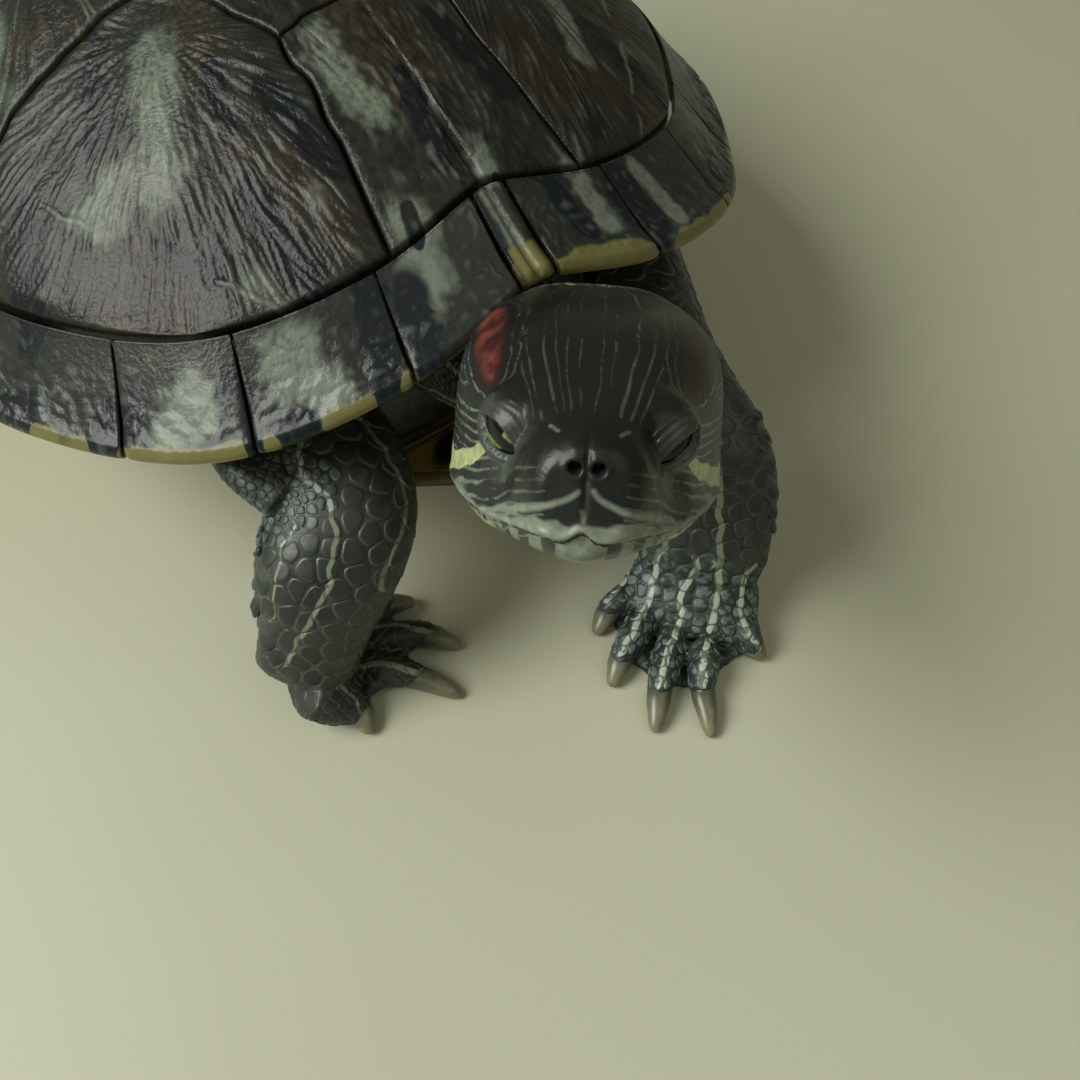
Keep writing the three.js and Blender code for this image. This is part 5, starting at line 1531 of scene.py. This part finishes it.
def raise_scales(chosen, name, material):
    at = root_points[chosen]
    up = root_normals[chosen]
    shape = outlines[chosen]
    along = lie[chosen]
    across = beside[chosen]
    size = root_spines[chosen, 6]
    height = root_spines[chosen, 7] * (0.85 + 0.3 * random_tone[chosen])
    count = len(at)
    rims = at[:, None] + along[:, None] * shape[..., :1] + across[:, None] * shape[..., 1:]
    snapped = np.empty((count * CORNERS, 3))
    snapped_up = np.empty((count * CORNERS, 3))
    for index, point in enumerate(rims.reshape(-1, 3).tolist()):
        spot, normal, _, _ = skin_surface.find_nearest(point)
        snapped[index] = spot
        snapped_up[index] = normal
    rims = snapped.reshape(count, CORNERS, 3)
    rim_up = snapped_up.reshape(count, CORNERS, 3)
    centre = rims.mean(1, keepdims=True)
    gap = 1 - 0.055 / (0.5 * size)[:, None, None]
    rims = centre + (rims - centre) * gap
    far_side = shape[..., :1] / (0.5 * size)[:, None, None]
    rise = height[:, None, None] * (1 + 0.45 * np.clip(far_side, -1, 1.2))
    rise = rise + tooth[chosen][:, None, None] * 0.6 * np.clip(far_side, 0, 1.2)
    rise = np.clip(rise, 0.05, None)
    low = rims - rim_up * 0.25
    shoulder = centre + (rims - centre) * 0.9 + rim_up * rise * 0.72
    shoulder = shoulder + along[:, None] * (0.16 * size * (0.3 + tooth[chosen]))[:, None, None] * np.clip(far_side, 0, 1)
    crown = centre + (rims - centre) * 0.66 + rim_up * rise * 1.0
    top = centre[:, 0] + up * (height * 1.05)[:, None]
    points = np.concatenate([low, shoulder, crown, top[:, None]], 1).reshape(-1, 3)
    points[:, 2] = np.maximum(points[:, 2], 0.05)
    per = 3 * CORNERS + 1
    faces = []
    for k in range(CORNERS):
        nxt = (k + 1) % CORNERS
        faces.append((k, nxt, CORNERS + nxt, CORNERS + k))
        faces.append((CORNERS + k, CORNERS + nxt, 2 * CORNERS + nxt, 2 * CORNERS + k))
        faces.append((2 * CORNERS + k, 2 * CORNERS + nxt, 3 * CORNERS))
    faces.append(tuple(range(CORNERS - 1, -1, -1)))
    everything = [tuple(v + base for v in face) for base in range(0, count * per, per) for face in faces]
    mesh = bpy.data.meshes.new(name)
    mesh.from_pydata((points * MM).tolist(), [], everything)
    piece = bpy.data.objects.new(name, mesh)
    bpy.context.collection.objects.link(piece)
    aside, near = side_of(points, np.repeat(up, per, axis=0), limb_lines)
    add_attribute(piece, "aside", np.clip(aside, -6, 6))
    add_attribute(piece, "near", near)
    ring = np.concatenate([np.ones(2 * CORNERS), np.full(CORNERS, 0.1), [0.0]])
    add_attribute(piece, "ring", np.tile(ring, count))
    add_attribute(piece, "shade", np.repeat(random_tone[chosen], per))
    # The left front hand and the right arm's fold get a paler teal colour: partly their own mottling, partly painted
    # light where these parts lie in the light.
    lit = (root_spines[chosen, 8] == 0) * smooth(root_spines[chosen, 9], 0.5, 0.62)
    lit = np.maximum(lit, (root_spines[chosen, 8] == 1) * (root_spines[chosen, 6] < 1.6) * 0.7)
    add_attribute(piece, "mottled_and_lit", np.repeat(lit, per))
    # The bake map: every scale is a small patch at its root's place on the unrolled limb.
    spine = root_spines[chosen]
    out = at - spine[:, :3]
    turn_side = np.cross(spine[:, 3:6], [0.31, 0.17, 0.93])
    turn_side /= np.linalg.norm(turn_side, axis=1)[:, None]
    turn_up = np.cross(turn_side, spine[:, 3:6])
    around = np.arctan2((out * turn_up).sum(1), (out * turn_side).sum(1)) / (2 * np.pi) + 0.5
    number = spine[:, 8]
    place = np.column_stack([0.02 + 0.96 * (number + 0.02 + 0.94 * around) / 6, 0.03 + 0.94 * spine[:, 9]])
    grown = np.concatenate([shape, shape * 0.9, shape * 0.66, np.zeros((count, 1, 2))], 1)
    spread = place[:, None] + grown / size[:, None, None] * 0.0015
    spread = spread.reshape(-1, 2)
    layer = mesh.uv_layers.new(name="OFBake")
    corner_vertex = np.empty(len(mesh.loops), dtype=int)
    mesh.loops.foreach_get("vertex_index", corner_vertex)
    layer.data.foreach_set("uv", spread[corner_vertex].ravel())
    finish_piece(piece, name, material, [])
    print(name, count, "scales,", len(mesh.loop_triangles) or count * 58, "triangles")


def make_scale_horn():
    material, tree = new_material("scale_horn_wet")
    small = object_noise(tree, 1100, 4)
    colour = blend_colours(tree, value(attribute(tree, "shade")), "1f2421", "2b312d")
    cloudy = object_noise(tree, 210, 3)
    colour = blend_colours(tree, fade(tree, cloudy, 0.5, 0.72, 0, 0.5), colour, "454c46")
    colour = blend_colours(tree, fade(tree, value(attribute(tree, "ring")), 0.3, 1.0, 0, 0.55), colour, "474e45")
    patches = fade(tree, object_noise(tree, 520, 3), 0.42, 0.62)
    # Paler mottled teal on the hand, partly painted light; its stripes are painted brighter cream there as well.
    spotted_and_lit = blend_colours(tree, patches, "29322f", "667670")
    colour = blend_colours(tree, value(attribute(tree, "mottled_and_lit")), colour, spotted_and_lit)
    on_line = maths(tree, "ABSOLUTE", value(attribute(tree, "aside")))
    stripe = maths(tree, "MULTIPLY", fade(tree, on_line, 1.25, 0.8), fade(tree, value(attribute(tree, "near")), 1.6, 1.1))
    cream = blend_colours(tree, value(attribute(tree, "mottled_and_lit")), "80856f", "b2c0ae")
    colour = blend_colours(tree, maths(tree, "MULTIPLY", stripe, 0.88), colour, cream)
    rough = fade(tree, object_noise(tree, 150, 3), 0.3, 0.7, 0.38, 0.56)
    finish_surface(tree, colour, rough, small, 0.35, 0.0001, 0.1, 0.2)
    return material


SCALE_HORN = make_scale_horn()
for number, name in enumerate(LIMB_NAMES):
    raise_scales(np.nonzero((root_spines[:, 8] == number) & has_outline)[0], f"scales_{name}", SCALE_HORN)
# %% [markdown]
# Claws. Each is a curved, blunt cone of horn that grows from the end of a toe,
# arched along its back and a little flattened from side to side.

# %% Claws
def make_claw_horn():
    material, tree = new_material("claw_horn")
    small = object_noise(tree, 700, 3)
    colour = blend_colours(tree, fade(tree, value(attribute(tree, "tip")), 0.1, 0.9), "42413a", "7d7b60")
    colour = blend_colours(tree, fade(tree, small, 0.35, 0.7, 0, 0.35), colour, "35332a")
    finish_surface(tree, colour, 0.35, small, 0.25, 0.0001, 0.2, 0.2)
    return material


CLAW_HORN = make_claw_horn()
for limb_name, limb in LIMBS.items():
    for number, toe in enumerate(limb["toes"], 1):
        root, knuckle, tip = (np.array(p, float) for p in toe)
        start = knuckle + (root - knuckle) * 0.18
        middle = knuckle + (tip - knuckle) * 0.5
        keys = [[*start, 2.4, 2.1, 1.9], [*(knuckle + (tip - knuckle) * 0.2), 2.4, 2.1, 1.8],
                [*middle, 2.1, 1.8, 1.5], [*(knuckle + (tip - knuckle) * 0.8), 1.4, 1.3, 1.1], [*tip, 0.8, 0.65, 0.6]]
        claw = tube(keys, 28, 18, (tip - root).tolist()[1::-1][:1] + [-(tip - root)[0], 0], 2.0, 0, 0.12, 0.0)
        at = coords(claw) / MM - SHIFT
        way = (tip - start) / np.linalg.norm(tip - start)
        add_attribute(claw, "tip", ((at[:, :2] - start) @ way) / np.linalg.norm(tip - start))
        finish_piece(claw, f"claw_{limb_name}_{number}", CLAW_HORN, [])
print("claws:", 5 * len(LIMBS))

# %% [markdown]
# Eyes. Each is a clear, wet ball with a yellow-green iris and a dark bar that runs
# through the pupil.

# %% Eyes
def make_eye_glass():
    material, tree = new_material("eye_wet")
    flecks = fade(tree, object_noise(tree, 1500, 3), 0.35, 0.65)
    colour = blend_colours(tree, flecks, "5c643c", "7f8756")
    colour = blend_colours(tree, fade(tree, value(attribute(tree, "iris")), 28, 35), colour, "0a0c09")
    colour = blend_colours(tree, fade(tree, value(attribute(tree, "pupil")), 0.0, 2.5), "060708", colour)
    finish_surface(tree, colour, 0.25, None, 0, 0, 0.25, 0.05, 0.2)
    return material


EYE = make_eye_glass()
for side, name in ((1, "eye_left"), (-1, "eye_right")):
    bpy.ops.object.select_all(action="DESELECT")
    bpy.ops.mesh.primitive_uv_sphere_add(segments=96, ring_count=64, radius=4.3 * MM)
    eye = bpy.context.object
    ball = coords(eye) / MM
    set_coords(eye, from_head(ball + EYE_AT * [side, 1, 1]) * MM)
    look = np.array([side * 0.64, -0.737, 0.206])
    away = np.degrees(np.arccos(np.clip(ball @ look / np.linalg.norm(look) / 4.3, -1, 1)))
    off_slit = np.degrees(np.arcsin(np.clip(ball @ SLIT[side][2] / 4.3, -1, 1)))
    add_attribute(eye, "pupil", np.minimum(away - 14, np.abs(off_slit) - 7))
    add_attribute(eye, "iris", away)
    finish_piece(eye, name + "_ball", EYE, [name])
print("eyes: 2")
# %% [markdown]
# Soft light, and a plain pale floor under the feet.

# %% Floor and lights
bpy.ops.object.select_all(action="DESELECT")
bpy.ops.mesh.primitive_plane_add(size=3, location=(0, 0, 0))
floor = bpy.context.object
floor.name = "floor"
material, tree = new_material("floor_pale")
grain = object_noise(tree, 6, 2)
finish_surface(tree, blend_colours(tree, fade(tree, grain, 0.3, 0.7), "c2c3ad", "bcbca2"), 0.5)
floor.data.materials.append(material)


def add_light(name, spot, aim, size, power, colour):
    bpy.ops.object.light_add(type="AREA", location=spot)
    light = bpy.context.object
    light.name = name
    light.data.size = size
    light.data.energy = power
    light.data.color = linear(colour)[:3]
    light.rotation_euler = (Vector(aim) - Vector(spot)).to_track_quat("-Z", "Y").to_euler()


add_light("window", (-0.62, 0.22, 0.62), (-0.02, -0.05, 0.03), 0.5, 9, "f4f6f0")
add_light("room", (0.1, -0.5, 0.9), (0, 0, 0.03), 0.9, 1.6, "f2efdf")
world = bpy.context.scene.world or bpy.data.worlds.new("room")
bpy.context.scene.world = world
world.use_nodes = True
world.node_tree.nodes["Background"].inputs[0].default_value = linear("c9cbb8")
world.node_tree.nodes["Background"].inputs[1].default_value = 0.25
bpy.context.scene.view_settings.view_transform = "Standard"
